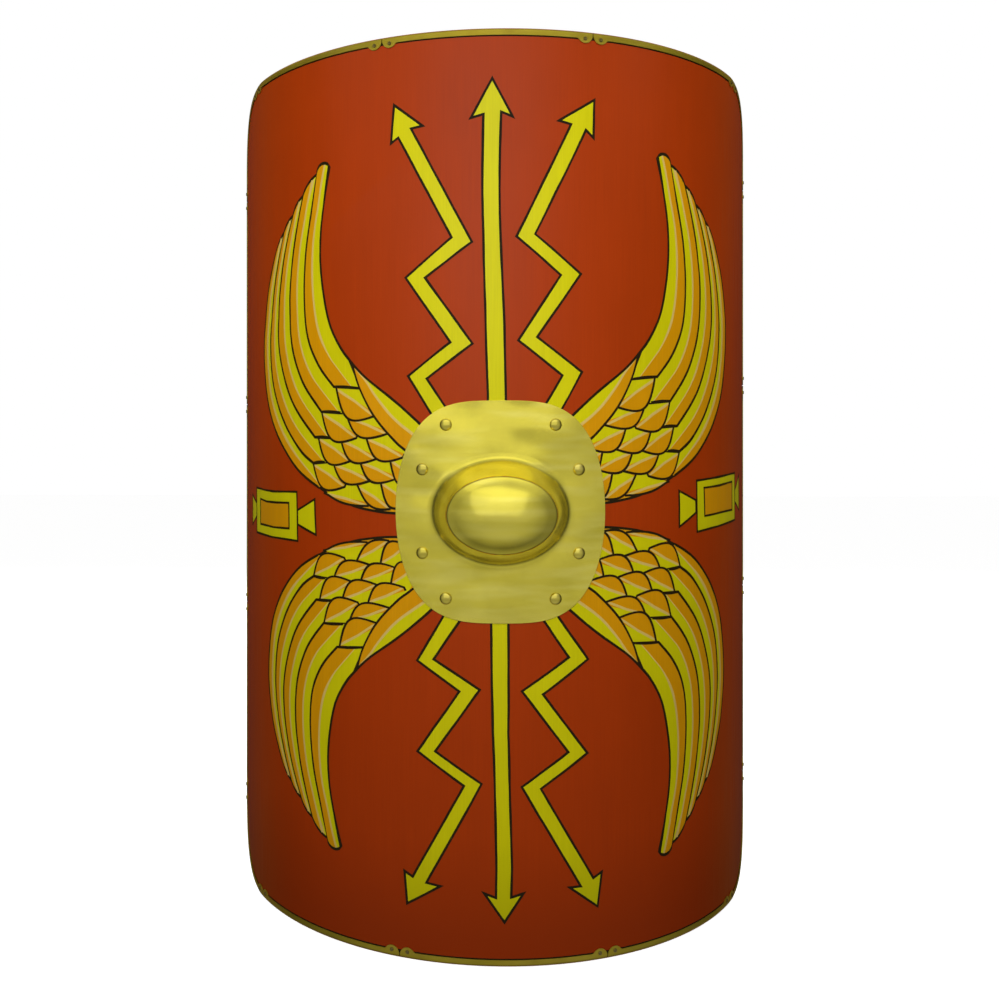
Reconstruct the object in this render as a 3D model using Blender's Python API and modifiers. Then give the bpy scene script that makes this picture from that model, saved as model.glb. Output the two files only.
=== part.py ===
"""Roman scutum: a tall, deeply curved plywood shield with a brass boss and brass edging.

Metres, +Z up. The painted, convex face looks along -Y, the hollow along +Y, and the shield stands
upright on its lower edge. The origin is at the middle of the footprint, on the ground.

Every sheet piece is drawn flat first, as its maker would cut it: s runs across the face from the
middle, z runs up, and depth runs from the painted face towards the back. It is then bent to the
curve of the shield, which is built of flat strips of equal width, so all pieces keep their gaps.
"""
import math

import bmesh
import bpy
from mathutils import Vector

# ---------------------------------------------------------------- driving dimensions
HEIGHT = 1.040              # over the brass edging
HALF_ARC = 0.458            # middle to side edge, along the painted face, over the edging
FACE_RADIUS = 0.346         # curve of the painted face
CORNER_RADIUS = 0.105       # the four rounded corners
BOARD_THICKNESS = 0.007
CLEARANCE = 0.0003          # between any two pieces
STRIPS = 40                 # flat strips that make up the curve
CORNER_STEPS = 8            # straight steps round each corner
STATION_MARGIN = 0.002      # a corner's step nearer than this to a joint is left out
WELD = 0.00001              # drawn points nearer than this are one point
SCORE_WELD = 0.000002       # the same, where a sheet is scored along the strip lines

# Brass edging, a folded channel
EDGING_SHEET = 0.0009
FRONT_LIP = 0.0085
BACK_LIP = 0.0060
LOBE_RADIUS = 0.0090        # rounded lobe at each end of a strip
LOBE_REACH = 0.0135         # from the rim to the lobe's lowest point
LOBE_STEPS = 4
TRIM_OVERCUT = 0.002        # the block that trims the back lip reaches this far past it
JOINT_GAP = 0.0010
# Where one strip of edging meets the next: s along the top and bottom, z along the sides
TOP_JOINTS = (-0.374, -0.134, 0.108, 0.366)
RIGHT_JOINTS = (0.916, 0.654, 0.386, 0.137)
BOTTOM_JOINTS = (0.349, 0.126, -0.112, -0.351)
LEFT_JOINTS = (0.104, 0.361, 0.629, 0.905)
EDGING_NAMES = (
    "edging_top_left", "edging_top_middle", "edging_top_right", "edging_corner_top_right",
    "edging_right_upper", "edging_right_middle", "edging_right_lower", "edging_corner_bottom_right",
    "edging_bottom_right", "edging_bottom_middle", "edging_bottom_left", "edging_corner_bottom_left",
    "edging_left_lower", "edging_left_middle", "edging_left_upper", "edging_corner_top_left",
)

# Small nails through the lobes
NAIL_INSET = 0.0085         # from the rim
NAIL_HEAD_RADIUS = 0.0023
NAIL_HEAD_HEIGHT = 0.0010
NAIL_SHANK_RADIUS = 0.0010
NAIL_TIP = 0.0007           # clenched end, proud of the board's back
NAIL_SIDES = 8
NAIL_HOLE_SIDES = 6

# Boss: a plate with bulging sides and a hollow oval dome
BOSS_S = 0.003              # the boss sits a little right of the middle
BOSS_Z = 0.504
BOSS_SHEET = 0.0012
BOSS_HALF_WIDTH = 0.1207
BOSS_HALF_HEIGHT = 0.1234
BOSS_SIDE_POWER = 3.8       # |s|^side + |z|^end = 1 draws the barrel outline
BOSS_END_POWER = 2.05
BOSS_SIDES = 32             # points round the outline and the dome
DOME_HALF_WIDTH = 0.0765    # where the dome leaves the plate
DOME_HALF_HEIGHT = 0.0615
# Dome profile: distance in from the dome's foot, height above the plate
DOME_WALL = ((0.0000, 0.0000), (0.0030, 0.0013), (0.0055, 0.0070), (0.0150, 0.0410), (0.0185, 0.0465))
CAP_INSET = 0.0225          # the wall's shoulder ends and the shallow cap begins
CAP_FOOT = 0.0495
DOME_HEIGHT = 0.0660
CAP_RINGS = (0.70, 0.36)    # rings of the cap, as fractions of its foot

# Boss rivets
RIVET_PLACES = ((0.0610, 0.0965), (0.0880, 0.0467))     # from the boss's middle, in all four quarters
RIVET_HEAD_RADIUS = 0.0064
RIVET_HEAD_HEIGHT = 0.0036
RIVET_HEAD_DEGREES = (35, 65, 90)   # rings of the head, measured from its crown
RIVET_SHANK_RADIUS = 0.0020
RIVET_BACK_RADIUS = 0.0038
RIVET_BACK_HEIGHT = 0.0010
RIVET_SIDES = 10
RIVET_HOLE_SIDES = 6

# Hand hole in the board, and the grip across it
HOLE_HALF_WIDTH = 0.0680
HOLE_HALF_HEIGHT = 0.0535
HOLE_SIDES = 24
GRIP_HALF_LENGTH = 0.1050
GRIP_PAD_INNER = 0.0763     # its ends rest on the board from here outwards
GRIP_HEIGHT = 0.0300
GRIP_END_THICKNESS = 0.0140
GRIP_WAIST_FRONT = 0.0200   # behind the foremost line of the face
GRIP_WAIST_BACK = 0.0420
GRIP_FLAT_SHARE = 0.45      # the middle of its back is flat
GRIP_FRONT_SHARES = (0.0, 0.35, 0.7)                    # points of its front, out from the middle
GRIP_BACK_SHARES = (0.8, 0.62, GRIP_FLAT_SHARE)         # points of its back, in from the end
GRIP_STEP = 0.0060          # where a pad steps up to the waist
GRIP_STEP_DEPTH = 0.0012
GRIP_BEVEL = 0.0045

# Derived values
HALF_TOP = HALF_ARC - CORNER_RADIUS                     # straight run of the top edge, from the middle
SIDE_TOP = HEIGHT - CORNER_RADIUS                       # straight run of a side edge
SIDE_BOTTOM = CORNER_RADIUS
QUARTER = CORNER_RADIUS * math.pi / 2                   # length of one rounded corner, along the rim
SIDE_RUN = SIDE_TOP - SIDE_BOTTOM
PERIMETER = 4 * HALF_TOP + 2 * SIDE_RUN + 4 * QUARTER
STRIP_WIDTH = 2 * HALF_ARC / STRIPS
EDGE_ANGLE = HALF_ARC / FACE_RADIUS
BACK_OF_EDGING = BOARD_THICKNESS + CLEARANCE + EDGING_SHEET
FRONT_MOST = -(CLEARANCE + BOSS_SHEET + DOME_HEIGHT)
BACK_MOST = FACE_RADIUS - (FACE_RADIUS - BACK_OF_EDGING) * math.cos(EDGE_ANGLE)
MIDDLE_Y = (FRONT_MOST + BACK_MOST) / 2                 # brings the origin under the middle
SHEET_LIMIT = -BOSS_SHEET - 0.0001                      # what stands off further isn't sheet on the face

PAINT_RED = (0.42, 0.055, 0.012, 1.0)
BRASS = (0.70, 0.60, 0.16, 1.0)
GRIP_WOOD = (0.36, 0.20, 0.09, 1.0)


# ---------------------------------------------------------------- scene, materials, collections
def clear_scene():
    for obj in list(bpy.data.objects):
        bpy.data.objects.remove(obj, do_unlink=True)


def make_collection(name):
    collection = bpy.data.collections.new(name)
    bpy.context.scene.collection.children.link(collection)
    return collection


def make_material(name, colour, roughness, metallic):
    material = bpy.data.materials.new(name)
    material.use_nodes = True
    shader = material.node_tree.nodes["Principled BSDF"]
    shader.inputs["Base Color"].default_value = colour
    shader.inputs["Roughness"].default_value = roughness
    shader.inputs["Metallic"].default_value = metallic
    material.diffuse_color = colour
    return material


# ---------------------------------------------------------------- the shield's curve
def on_circle(s, depth):
    """The point of the true curve at arc length s, depth behind the painted face."""
    radius = FACE_RADIUS - depth
    angle = s / FACE_RADIUS
    return radius * math.sin(angle), FACE_RADIUS - radius * math.cos(angle)


def bend(s, depth, z):
    """A flat point (s, depth, z) carried onto the flat strips that make up the curve."""
    line = math.floor(s / STRIP_WIDTH)
    share = s / STRIP_WIDTH - line
    x_low, y_low = on_circle(line * STRIP_WIDTH, depth)
    x_high, y_high = on_circle((line + 1) * STRIP_WIDTH, depth)
    return Vector((x_low + (x_high - x_low) * share, y_low + (y_high - y_low) * share, z))


def press_forward(s, depth, z):
    """The boss: its sheet follows the curve, and what stands off it stands straight forward."""
    in_sheet = max(depth, -BOSS_SHEET)
    point = bend(s, in_sheet - CLEARANCE, z)
    point.y += depth - in_sheet
    return point


def facing_angle(s):
    """The turn about Z of the flat strip at s."""
    return (math.floor(s / STRIP_WIDTH) + 0.5) * STRIP_WIDTH / FACE_RADIUS


# ---------------------------------------------------------------- the rim
def rim_point(along, inset):
    """A flat point (s, z), a distance clockwise along the rim from the top middle, inset from it."""
    along %= PERIMETER
    half = PERIMETER / 2
    turned = along >= half                              # the lower left half repeats the upper right
    along = along - half if turned else along
    if along <= HALF_TOP:
        s, z = along, HEIGHT - inset
    elif along <= HALF_TOP + QUARTER:
        angle = (along - HALF_TOP) / CORNER_RADIUS
        reach = CORNER_RADIUS - inset
        s, z = HALF_TOP + reach * math.sin(angle), SIDE_TOP + reach * math.cos(angle)
    elif along <= HALF_TOP + QUARTER + SIDE_RUN:
        s, z = HALF_ARC - inset, SIDE_TOP - (along - HALF_TOP - QUARTER)
    elif along <= HALF_TOP + 2 * QUARTER + SIDE_RUN:
        angle = (along - HALF_TOP - QUARTER - SIDE_RUN) / CORNER_RADIUS
        reach = CORNER_RADIUS - inset
        s, z = HALF_TOP + reach * math.cos(angle), SIDE_BOTTOM - reach * math.sin(angle)
    else:
        s, z = half - along, inset
    return (-s, HEIGHT - z) if turned else (s, z)


def corner_starts():
    """Distances along the rim where each rounded corner begins."""
    first = HALF_TOP
    second = HALF_TOP + QUARTER + SIDE_RUN
    return first, second, first + PERIMETER / 2, second + PERIMETER / 2


def rim_stations(start, end):
    """Distances from start to end, with the steps of every corner that lies between them."""
    stations = {round(start, 9), round(end, 9)}
    for corner in corner_starts():
        for lap in (0, PERIMETER):
            for step in range(CORNER_STEPS + 1):
                place = corner + lap + QUARTER * step / CORNER_STEPS
                if start + STATION_MARGIN < place < end - STATION_MARGIN:
                    stations.add(round(place, 9))
    return sorted(stations)


def joint_distances():
    """Every joint of the edging, as a distance along the rim, clockwise from the top left corner."""
    right_start = HALF_TOP + QUARTER
    bottom_middle = PERIMETER / 2
    left_start = bottom_middle + HALF_TOP + QUARTER
    joints = list(TOP_JOINTS)
    joints += [right_start + SIDE_TOP - z for z in RIGHT_JOINTS]
    joints += [bottom_middle - s for s in BOTTOM_JOINTS]
    joints += [left_start + z - SIDE_BOTTOM for z in LEFT_JOINTS]
    return joints


def whole_outline(inset):
    """The rounded oblong, a distance inside the rim."""
    stations = rim_stations(0.0, PERIMETER)[:-1]
    return [rim_point(along, inset) for along in stations]


def ellipse(centre_s, centre_z, half_width, half_height, sides):
    points = []
    for step in range(sides):
        angle = 2 * math.pi * (step + 0.5) / sides
        points.append((centre_s + half_width * math.cos(angle), centre_z + half_height * math.sin(angle)))
    return points


def fastener_hole(s, z, shank_radius, sides):
    """A hole with flat sides that clear a round shank all round."""
    radius = (shank_radius + CLEARANCE) / math.cos(math.pi / sides)
    return ellipse(s, z, radius, radius, sides)


# ---------------------------------------------------------------- flat sheets
def flat_sheet(name, outline, holes, front, back):
    """A flat closed sheet between two depths, cut to an outline, as a mesh object drawn in s and z."""
    curve = bpy.data.curves.new(name, "CURVE")
    curve.dimensions = "2D"
    curve.fill_mode = "BOTH"
    curve.extrude = (back - front) / 2
    for loop in [outline] + holes:
        spline = curve.splines.new("POLY")
        spline.points.add(len(loop) - 1)
        for point, (s, z) in zip(spline.points, loop):
            point.co = (s, z, 0.0, 1.0)
        spline.use_cyclic_u = True
    drawn = bpy.data.objects.new(name, curve)
    bpy.context.scene.collection.objects.link(drawn)
    mesh = evaluated_mesh(drawn)
    bpy.data.objects.remove(drawn)

    bm = bmesh.new()
    bm.from_mesh(mesh)
    bmesh.ops.remove_doubles(bm, verts=bm.verts, dist=WELD)
    middle = (front + back) / 2
    for vert in bm.verts:
        vert.co = Vector((vert.co.x, middle + vert.co.z, vert.co.y))
    face_outwards(bm)
    bm.to_mesh(mesh)
    bm.free()
    sheet = bpy.data.objects.new(name, mesh)
    bpy.context.scene.collection.objects.link(sheet)
    return sheet


def evaluated_mesh(obj):
    bpy.context.view_layer.update()
    depsgraph = bpy.context.evaluated_depsgraph_get()
    return bpy.data.meshes.new_from_object(obj.evaluated_get(depsgraph))


def face_outwards(bm):
    bmesh.ops.recalc_face_normals(bm, faces=bm.faces)
    if bm.calc_volume(signed=True) < 0:
        bmesh.ops.reverse_faces(bm, faces=bm.faces)


def hide_cutter(obj, collection):
    for home in list(obj.users_collection):
        home.objects.unlink(obj)
    collection.objects.link(obj)
    obj.hide_render = True
    obj.display_type = "WIRE"
    return obj


def cut_away(obj, cutter):
    modifier = obj.modifiers.new("cut", "BOOLEAN")
    modifier.operation = "DIFFERENCE"
    modifier.object = cutter


def form(flat, carry, material, collection, root):
    """Bend a flat piece to the shield: score its sheet at each strip line, carry its points, tidy it."""
    name = flat.name
    mesh = evaluated_mesh(flat)
    bpy.data.objects.remove(flat)
    bm = bmesh.new()
    bm.from_mesh(mesh)
    bpy.data.meshes.remove(mesh)
    reach = max(abs(vert.co.x) for vert in bm.verts)
    lines = math.floor(reach / STRIP_WIDTH)
    for line in range(-lines, lines + 1):
        sheet = [face for face in bm.faces if all(vert.co.y > SHEET_LIMIT for vert in face.verts)]
        edges = {edge for face in sheet for edge in face.edges}
        verts = {vert for face in sheet for vert in face.verts}
        bmesh.ops.bisect_plane(
            bm, geom=list(verts) + list(edges) + sheet, dist=SCORE_WELD,
            plane_co=(line * STRIP_WIDTH, 0.0, 0.0), plane_no=(1.0, 0.0, 0.0),
        )
    for vert in bm.verts:
        vert.co = carry(vert.co.x, vert.co.y, vert.co.z)
    bmesh.ops.remove_doubles(bm, verts=bm.verts, dist=SCORE_WELD)
    bmesh.ops.dissolve_limit(
        bm, angle_limit=math.radians(0.2), use_dissolve_boundaries=False,
        verts=bm.verts, edges=bm.edges, delimit=set(),
    )
    finished = bpy.data.meshes.new(name)
    bm.to_mesh(finished)
    bm.free()
    return place(name, finished, material, collection, root)


def place(name, mesh, material, collection, root, location=(0.0, 0.0, 0.0), rotation=(0.0, 0.0, 0.0)):
    obj = bpy.data.objects.new(name, mesh)
    if not mesh.materials:
        mesh.materials.append(material)
    collection.objects.link(obj)
    obj.parent = root
    obj.location = location
    obj.rotation_euler = rotation
    return obj


# ---------------------------------------------------------------- places of the fasteners
def nail_places():
    """Two nails at each joint of the edging, as flat points (s, z)."""
    from_joint = JOINT_GAP / 2 + LOBE_RADIUS
    places = []
    for joint in joint_distances():
        places.append(rim_point(joint - from_joint, NAIL_INSET))
        places.append(rim_point(joint + from_joint, NAIL_INSET))
    return places


def rivet_places():
    places = []
    for side in (-1, 1):
        for end in (1, -1):
            for away_s, away_z in RIVET_PLACES:
                places.append((BOSS_S + side * away_s, BOSS_Z + end * away_z))
    return places


# ---------------------------------------------------------------- the pieces
def make_board(material, collection, root):
    holes = [ellipse(BOSS_S, BOSS_Z, HOLE_HALF_WIDTH, HOLE_HALF_HEIGHT, HOLE_SIDES)]
    holes += [fastener_hole(s, z, NAIL_SHANK_RADIUS, NAIL_HOLE_SIDES) for s, z in nail_places()]
    holes += [fastener_hole(s, z, RIVET_SHANK_RADIUS, RIVET_HOLE_SIDES) for s, z in rivet_places()]
    outline = whole_outline(EDGING_SHEET + CLEARANCE)
    flat = flat_sheet("shield_board", outline, holes, 0.0, BOARD_THICKNESS)
    return form(flat, bend, material, collection, root)


def lobed_outline(start, end):
    """A strip of edging from joint to joint: straight along the rim, with a lobe at each end."""
    centre_inset = LOBE_REACH - LOBE_RADIUS
    last_angle = math.pi - math.asin((FRONT_LIP - centre_inset) / LOBE_RADIUS)
    points = [rim_point(along, 0.0) for along in rim_stations(start, end)]
    for step in range(LOBE_STEPS + 1):
        angle = last_angle * step / LOBE_STEPS
        along = end - LOBE_RADIUS + LOBE_RADIUS * math.cos(angle)
        points.append(rim_point(along, centre_inset + LOBE_RADIUS * math.sin(angle)))
    inner = rim_stations(start + 2 * LOBE_RADIUS, end - 2 * LOBE_RADIUS)[1:-1]
    points += [rim_point(along, FRONT_LIP) for along in reversed(inner)]
    for step in range(LOBE_STEPS, -1, -1):
        angle = last_angle * step / LOBE_STEPS
        along = start + LOBE_RADIUS - LOBE_RADIUS * math.cos(angle)
        points.append(rim_point(along, centre_inset + LOBE_RADIUS * math.sin(angle)))
    return points


def make_edging(material, collection, cutters, root):
    """Sixteen folded strips: each is a solid block, slotted for the board, its back lip trimmed."""
    front = -(CLEARANCE + EDGING_SHEET)
    slot = flat_sheet(
        "slot_for_board", whole_outline(EDGING_SHEET), [], -CLEARANCE, BOARD_THICKNESS + CLEARANCE)
    trim = flat_sheet(
        "trim_of_back_lip", whole_outline(BACK_LIP), [], BOARD_THICKNESS / 2, BACK_OF_EDGING + TRIM_OVERCUT)
    hide_cutter(slot, cutters)
    hide_cutter(trim, cutters)
    joints = joint_distances()
    for index, name in enumerate(EDGING_NAMES):
        start = joints[index] + JOINT_GAP / 2
        following = joints[index + 1] if index + 1 < len(joints) else joints[0] + PERIMETER
        end = following - JOINT_GAP / 2
        ends = (rim_point(start + LOBE_RADIUS, NAIL_INSET), rim_point(end - LOBE_RADIUS, NAIL_INSET))
        holes = [fastener_hole(s, z, NAIL_SHANK_RADIUS, NAIL_HOLE_SIDES) for s, z in ends]
        block = flat_sheet(name, lobed_outline(start, end), holes, front, BACK_OF_EDGING)
        cut_away(block, slot)
        cut_away(block, trim)
        form(block, bend, material, collection, root)


def turned_mesh(name, profile, sides):
    """A turned shape from a profile that runs down its outer side, as a mesh about its own Z axis."""
    mesh = bpy.data.meshes.new(name)
    edges = [(index, index + 1) for index in range(len(profile) - 1)]
    mesh.from_pydata([(radius, 0.0, height) for radius, height in profile], edges, [])
    turned = bpy.data.objects.new(name, mesh)
    bpy.context.scene.collection.objects.link(turned)
    screw = turned.modifiers.new("turn", "SCREW")
    screw.steps = sides
    screw.render_steps = sides
    screw.use_merge_vertices = True
    screw.merge_threshold = WELD
    finished = evaluated_mesh(turned)
    bpy.data.objects.remove(turned)
    bm = bmesh.new()
    bm.from_mesh(finished)
    bmesh.ops.remove_doubles(bm, verts=bm.verts, dist=WELD)
    face_outwards(bm)
    bm.to_mesh(finished)
    bm.free()
    finished.name = name
    return finished


def make_nails(material, collection, root):
    seat = CLEARANCE + EDGING_SHEET + CLEARANCE
    tip = -(BOARD_THICKNESS + NAIL_TIP)
    profile = (
        (0.0, seat + NAIL_HEAD_HEIGHT),
        (NAIL_HEAD_RADIUS, seat),
        (NAIL_SHANK_RADIUS, seat),
        (NAIL_SHANK_RADIUS, tip),
        (0.0, tip),
    )
    mesh = turned_mesh("edging_nail", profile, NAIL_SIDES)
    for index, (s, z) in enumerate(nail_places()):
        rotation = (math.pi / 2, 0.0, facing_angle(s))
        name = "edging_nail_%02d" % (index + 1)
        place(name, mesh, material, collection, root, bend(s, 0.0, z), rotation)


def make_rivets(material, collection, root):
    seat = CLEARANCE + BOSS_SHEET + 2 * CLEARANCE
    back = -(BOARD_THICKNESS + CLEARANCE)
    profile = [(0.0, seat + RIVET_HEAD_HEIGHT)]
    for degrees in RIVET_HEAD_DEGREES:
        angle = math.radians(degrees)
        profile.append((RIVET_HEAD_RADIUS * math.sin(angle), seat + RIVET_HEAD_HEIGHT * math.cos(angle)))
    profile += [
        (RIVET_SHANK_RADIUS, seat),
        (RIVET_SHANK_RADIUS, back),
        (RIVET_BACK_RADIUS, back),
        (0.0, back - RIVET_BACK_HEIGHT),
    ]
    mesh = turned_mesh("boss_rivet", profile, RIVET_SIDES)
    for index, (s, z) in enumerate(rivet_places()):
        rotation = (math.pi / 2, 0.0, facing_angle(s))
        place("boss_rivet_%d" % (index + 1), mesh, material, collection, root, bend(s, 0.0, z), rotation)


def signed_power(value, power):
    return math.copysign(abs(value) ** power, value)


def barrel_outline():
    """The boss plate: flat ends and bulging sides."""
    points = []
    for step in range(BOSS_SIDES):
        angle = 2 * math.pi * (step + 0.5) / BOSS_SIDES
        s = BOSS_S + BOSS_HALF_WIDTH * signed_power(math.cos(angle), 2 / BOSS_SIDE_POWER)
        z = BOSS_Z + BOSS_HALF_HEIGHT * signed_power(math.sin(angle), 2 / BOSS_END_POWER)
        points.append((s, z))
    return points


def dome_profile():
    """Distance in from the dome's foot, share of the cap's size, and height, from foot to crown."""
    profile = [(inset, 1.0, height) for inset, height in DOME_WALL]
    for share in (1.0,) + CAP_RINGS:
        profile.append((CAP_INSET, share, CAP_FOOT + (DOME_HEIGHT - CAP_FOOT) * (1 - share ** 2)))
    return profile


def add_dome_skin(bm, plate_face, inward):
    """One side of the dome's sheet, rising from the plate: rings of points, then a crown."""
    previous = None
    for inset, share, height in dome_profile():
        drawn_in = inset + (inward if height else 0.0)
        half_width = (DOME_HALF_WIDTH - drawn_in) * share
        half_height = (DOME_HALF_HEIGHT - drawn_in) * share
        oval = ellipse(BOSS_S, BOSS_Z, half_width, half_height, BOSS_SIDES)
        ring = [bm.verts.new((s, plate_face - height, z)) for s, z in oval]
        if previous:
            for step in range(BOSS_SIDES):
                following = (step + 1) % BOSS_SIDES
                bm.faces.new((previous[step], previous[following], ring[following], ring[step]))
        previous = ring
    crown = bm.verts.new((BOSS_S, plate_face - DOME_HEIGHT, BOSS_Z))
    for step in range(BOSS_SIDES):
        bm.faces.new((previous[step], previous[(step + 1) % BOSS_SIDES], crown))


def on_dome_foot(vert):
    away_s = (vert.co.x - BOSS_S) / DOME_HALF_WIDTH
    away_z = (vert.co.z - BOSS_Z) / DOME_HALF_HEIGHT
    return abs(math.hypot(away_s, away_z) - 1.0) < 0.001


def make_boss(material, collection, root):
    """The boss plate with its eight rivet holes, open in the middle, where the hollow dome rises."""
    holes = [ellipse(BOSS_S, BOSS_Z, DOME_HALF_WIDTH, DOME_HALF_HEIGHT, BOSS_SIDES)]
    holes += [fastener_hole(s, z, RIVET_SHANK_RADIUS, RIVET_HOLE_SIDES) for s, z in rivet_places()]
    flat = flat_sheet("boss", barrel_outline(), holes, -BOSS_SHEET, 0.0)
    bm = bmesh.new()
    bm.from_mesh(flat.data)
    walls = [face for face in bm.faces if all(on_dome_foot(vert) for vert in face.verts)]
    bmesh.ops.delete(bm, geom=walls, context="FACES_ONLY")
    add_dome_skin(bm, -BOSS_SHEET, 0.0)
    add_dome_skin(bm, 0.0, BOSS_SHEET)
    bmesh.ops.remove_doubles(bm, verts=bm.verts, dist=WELD)
    face_outwards(bm)
    bm.to_mesh(flat.data)
    bm.free()
    return form(flat, press_forward, material, collection, root)


def grip_end(side):
    """Half of the grip seen from above, from the middle of its front round to the middle of its back."""
    seat = BOARD_THICKNESS + CLEARANCE
    inner = BOSS_S + side * GRIP_PAD_INNER
    outer = BOSS_S + side * GRIP_HALF_LENGTH
    low, high = sorted((inner, outer))
    lines = [line * STRIP_WIDTH for line in range(-STRIPS, STRIPS) if low < line * STRIP_WIDTH < high]
    pad = [bend(s, seat, 0.0) for s in sorted([inner, outer] + lines, key=abs)]
    points = []
    for share in GRIP_FRONT_SHARES:
        points.append((BOSS_S + side * GRIP_PAD_INNER * share, GRIP_WAIST_FRONT))
    points.append((pad[0].x - side * GRIP_STEP, pad[0].y + GRIP_STEP_DEPTH))
    points += [(point.x, point.y) for point in pad]
    end_x = pad[-1].x
    end_back = pad[-1].y + GRIP_END_THICKNESS
    points.append((end_x, end_back))
    for share in GRIP_BACK_SHARES:
        ease = 0.5 + 0.5 * math.cos(math.pi * (share - GRIP_FLAT_SHARE) / (1 - GRIP_FLAT_SHARE))
        x = BOSS_S + (end_x - BOSS_S) * share
        points.append((x, end_back + (GRIP_WAIST_BACK - end_back) * ease))
    return points


def grip_outline():
    """The grip seen from above: pads that follow the board's back, and a waist clear of it."""
    right = grip_end(1)
    left = grip_end(-1)
    return right + left[:0:-1]


def make_grip(material, collection, root):
    """The hand grip: the plan extruded up and down, with eased edges."""
    curve = bpy.data.curves.new("hand_grip", "CURVE")
    curve.dimensions = "2D"
    curve.fill_mode = "BOTH"
    curve.extrude = GRIP_HEIGHT / 2
    outline = grip_outline()
    spline = curve.splines.new("POLY")
    spline.points.add(len(outline) - 1)
    for point, (x, y) in zip(spline.points, outline):
        point.co = (x, y, 0.0, 1.0)
    spline.use_cyclic_u = True
    drawn = bpy.data.objects.new("hand_grip_plan", curve)
    bpy.context.scene.collection.objects.link(drawn)
    mesh = evaluated_mesh(drawn)
    bpy.data.objects.remove(drawn)
    bm = bmesh.new()
    bm.from_mesh(mesh)
    bmesh.ops.remove_doubles(bm, verts=bm.verts, dist=WELD)
    face_outwards(bm)
    bmesh.ops.dissolve_limit(
        bm, angle_limit=math.radians(1), use_dissolve_boundaries=False,
        verts=bm.verts, edges=bm.edges, delimit=set(),
    )
    bm.to_mesh(mesh)
    bm.free()
    grip = place("hand_grip", mesh, material, collection, root, (0.0, 0.0, BOSS_Z))
    bevel = grip.modifiers.new("eased_edges", "BEVEL")
    bevel.width = GRIP_BEVEL
    bevel.segments = 2
    bevel.limit_method = "ANGLE"
    bevel.angle_limit = math.radians(60)
    return grip


def main():
    clear_scene()
    collection = make_collection("roman_scutum_shield")
    cutters = make_collection("cutters")
    root = bpy.data.objects.new("shield_origin", None)
    collection.objects.link(root)
    root.location = (0.0, -MIDDLE_Y, 0.0)
    paint = make_material("painted_board", PAINT_RED, 0.45, 0.0)
    brass = make_material("polished_brass", BRASS, 0.25, 1.0)
    wood = make_material("grip_wood", GRIP_WOOD, 0.6, 0.0)
    make_board(paint, collection, root)
    make_edging(brass, collection, cutters, root)
    make_nails(brass, collection, root)
    make_boss(brass, collection, root)
    make_rivets(brass, collection, root)
    make_grip(wood, collection, root)
    bpy.context.view_layer.update()


main()
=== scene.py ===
# %% [markdown]
# # A roman scutum, piece by piece
#
# A scutum is the tall, curved shield of a legionary. It is a thin plywood board, bent into part of
# a cylinder, painted on the front, bound round its rim with folded brass, and carrying a hollow
# brass boss over the hole where the fist goes.
#
# This lesson dresses an exact CAD model of it. The CAD pieces are loaded first, as a frame that
# never moves. Each new piece is drawn flat, as the maker would cut it, and then bent to the curve.

# %% Load the frame
import math

import bmesh
import bpy
import numpy as np
from mathutils import Matrix, Vector
from mathutils.geometry import delaunay_2d_cdt, interpolate_bezier
from mathutils.noise import noise


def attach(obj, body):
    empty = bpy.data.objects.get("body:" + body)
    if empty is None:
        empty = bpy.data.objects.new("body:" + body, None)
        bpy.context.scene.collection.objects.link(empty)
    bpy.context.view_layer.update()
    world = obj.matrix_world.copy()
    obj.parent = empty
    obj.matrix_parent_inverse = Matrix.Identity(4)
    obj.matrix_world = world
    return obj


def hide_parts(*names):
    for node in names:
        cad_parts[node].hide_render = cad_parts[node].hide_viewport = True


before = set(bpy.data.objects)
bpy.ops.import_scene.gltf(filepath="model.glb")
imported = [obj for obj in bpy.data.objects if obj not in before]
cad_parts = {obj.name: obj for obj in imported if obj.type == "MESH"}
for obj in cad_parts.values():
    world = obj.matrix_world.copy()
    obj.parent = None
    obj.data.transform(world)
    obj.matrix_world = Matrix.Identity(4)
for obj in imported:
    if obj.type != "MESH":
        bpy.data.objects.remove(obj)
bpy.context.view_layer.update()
print("CAD pieces:", len(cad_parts))

# %% [markdown]
# ## The shield's own coordinates
#
# A curved board is awkward to draw on, so everything is laid out on the flat sheet: s runs across
# the face along its curve, z runs up, and depth runs from the painted face towards the back. One
# small function then carries any such point onto the cylinder. The first numbers are the same
# sizes, in metres, that the CAD model was built from. MIDDLE_Y stands the middle of the shield's
# depth over the origin.

# %% Sizes and the bend
HEIGHT = 1.040
HALF_ARC = 0.458
FACE_RADIUS = 0.346
CORNER_RADIUS = 0.105
BOARD_THICKNESS = 0.007
CLEARANCE = 0.0003
SHEET = 0.0009
MIDDLE_Y = 0.09793874
CYLINDER_AXIS_Y = FACE_RADIUS - MIDDLE_Y


def curved(s, z, depth=0.0):
    """A flat point carried onto the shield's cylinder."""
    angle = s / FACE_RADIUS
    reach = FACE_RADIUS - depth
    return Vector((reach * math.sin(angle), CYLINDER_AXIS_Y - reach * math.cos(angle), z))


def outward(s):
    """The direction that the painted face looks in at s."""
    angle = s / FACE_RADIUS
    return Vector((math.sin(angle), -math.cos(angle), 0.0))


print("The side edge has turned", round(math.degrees(HALF_ARC / FACE_RADIUS), 1), "degrees")

# %% [markdown]
# ## Walking round the rim
#
# The board, the painted border and the brass edging all follow the same rounded oblong, so one
# function measures distance clockwise along the rim from the top middle, and steps in from it. The
# lower left half repeats the upper right one turned half way round.

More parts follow.
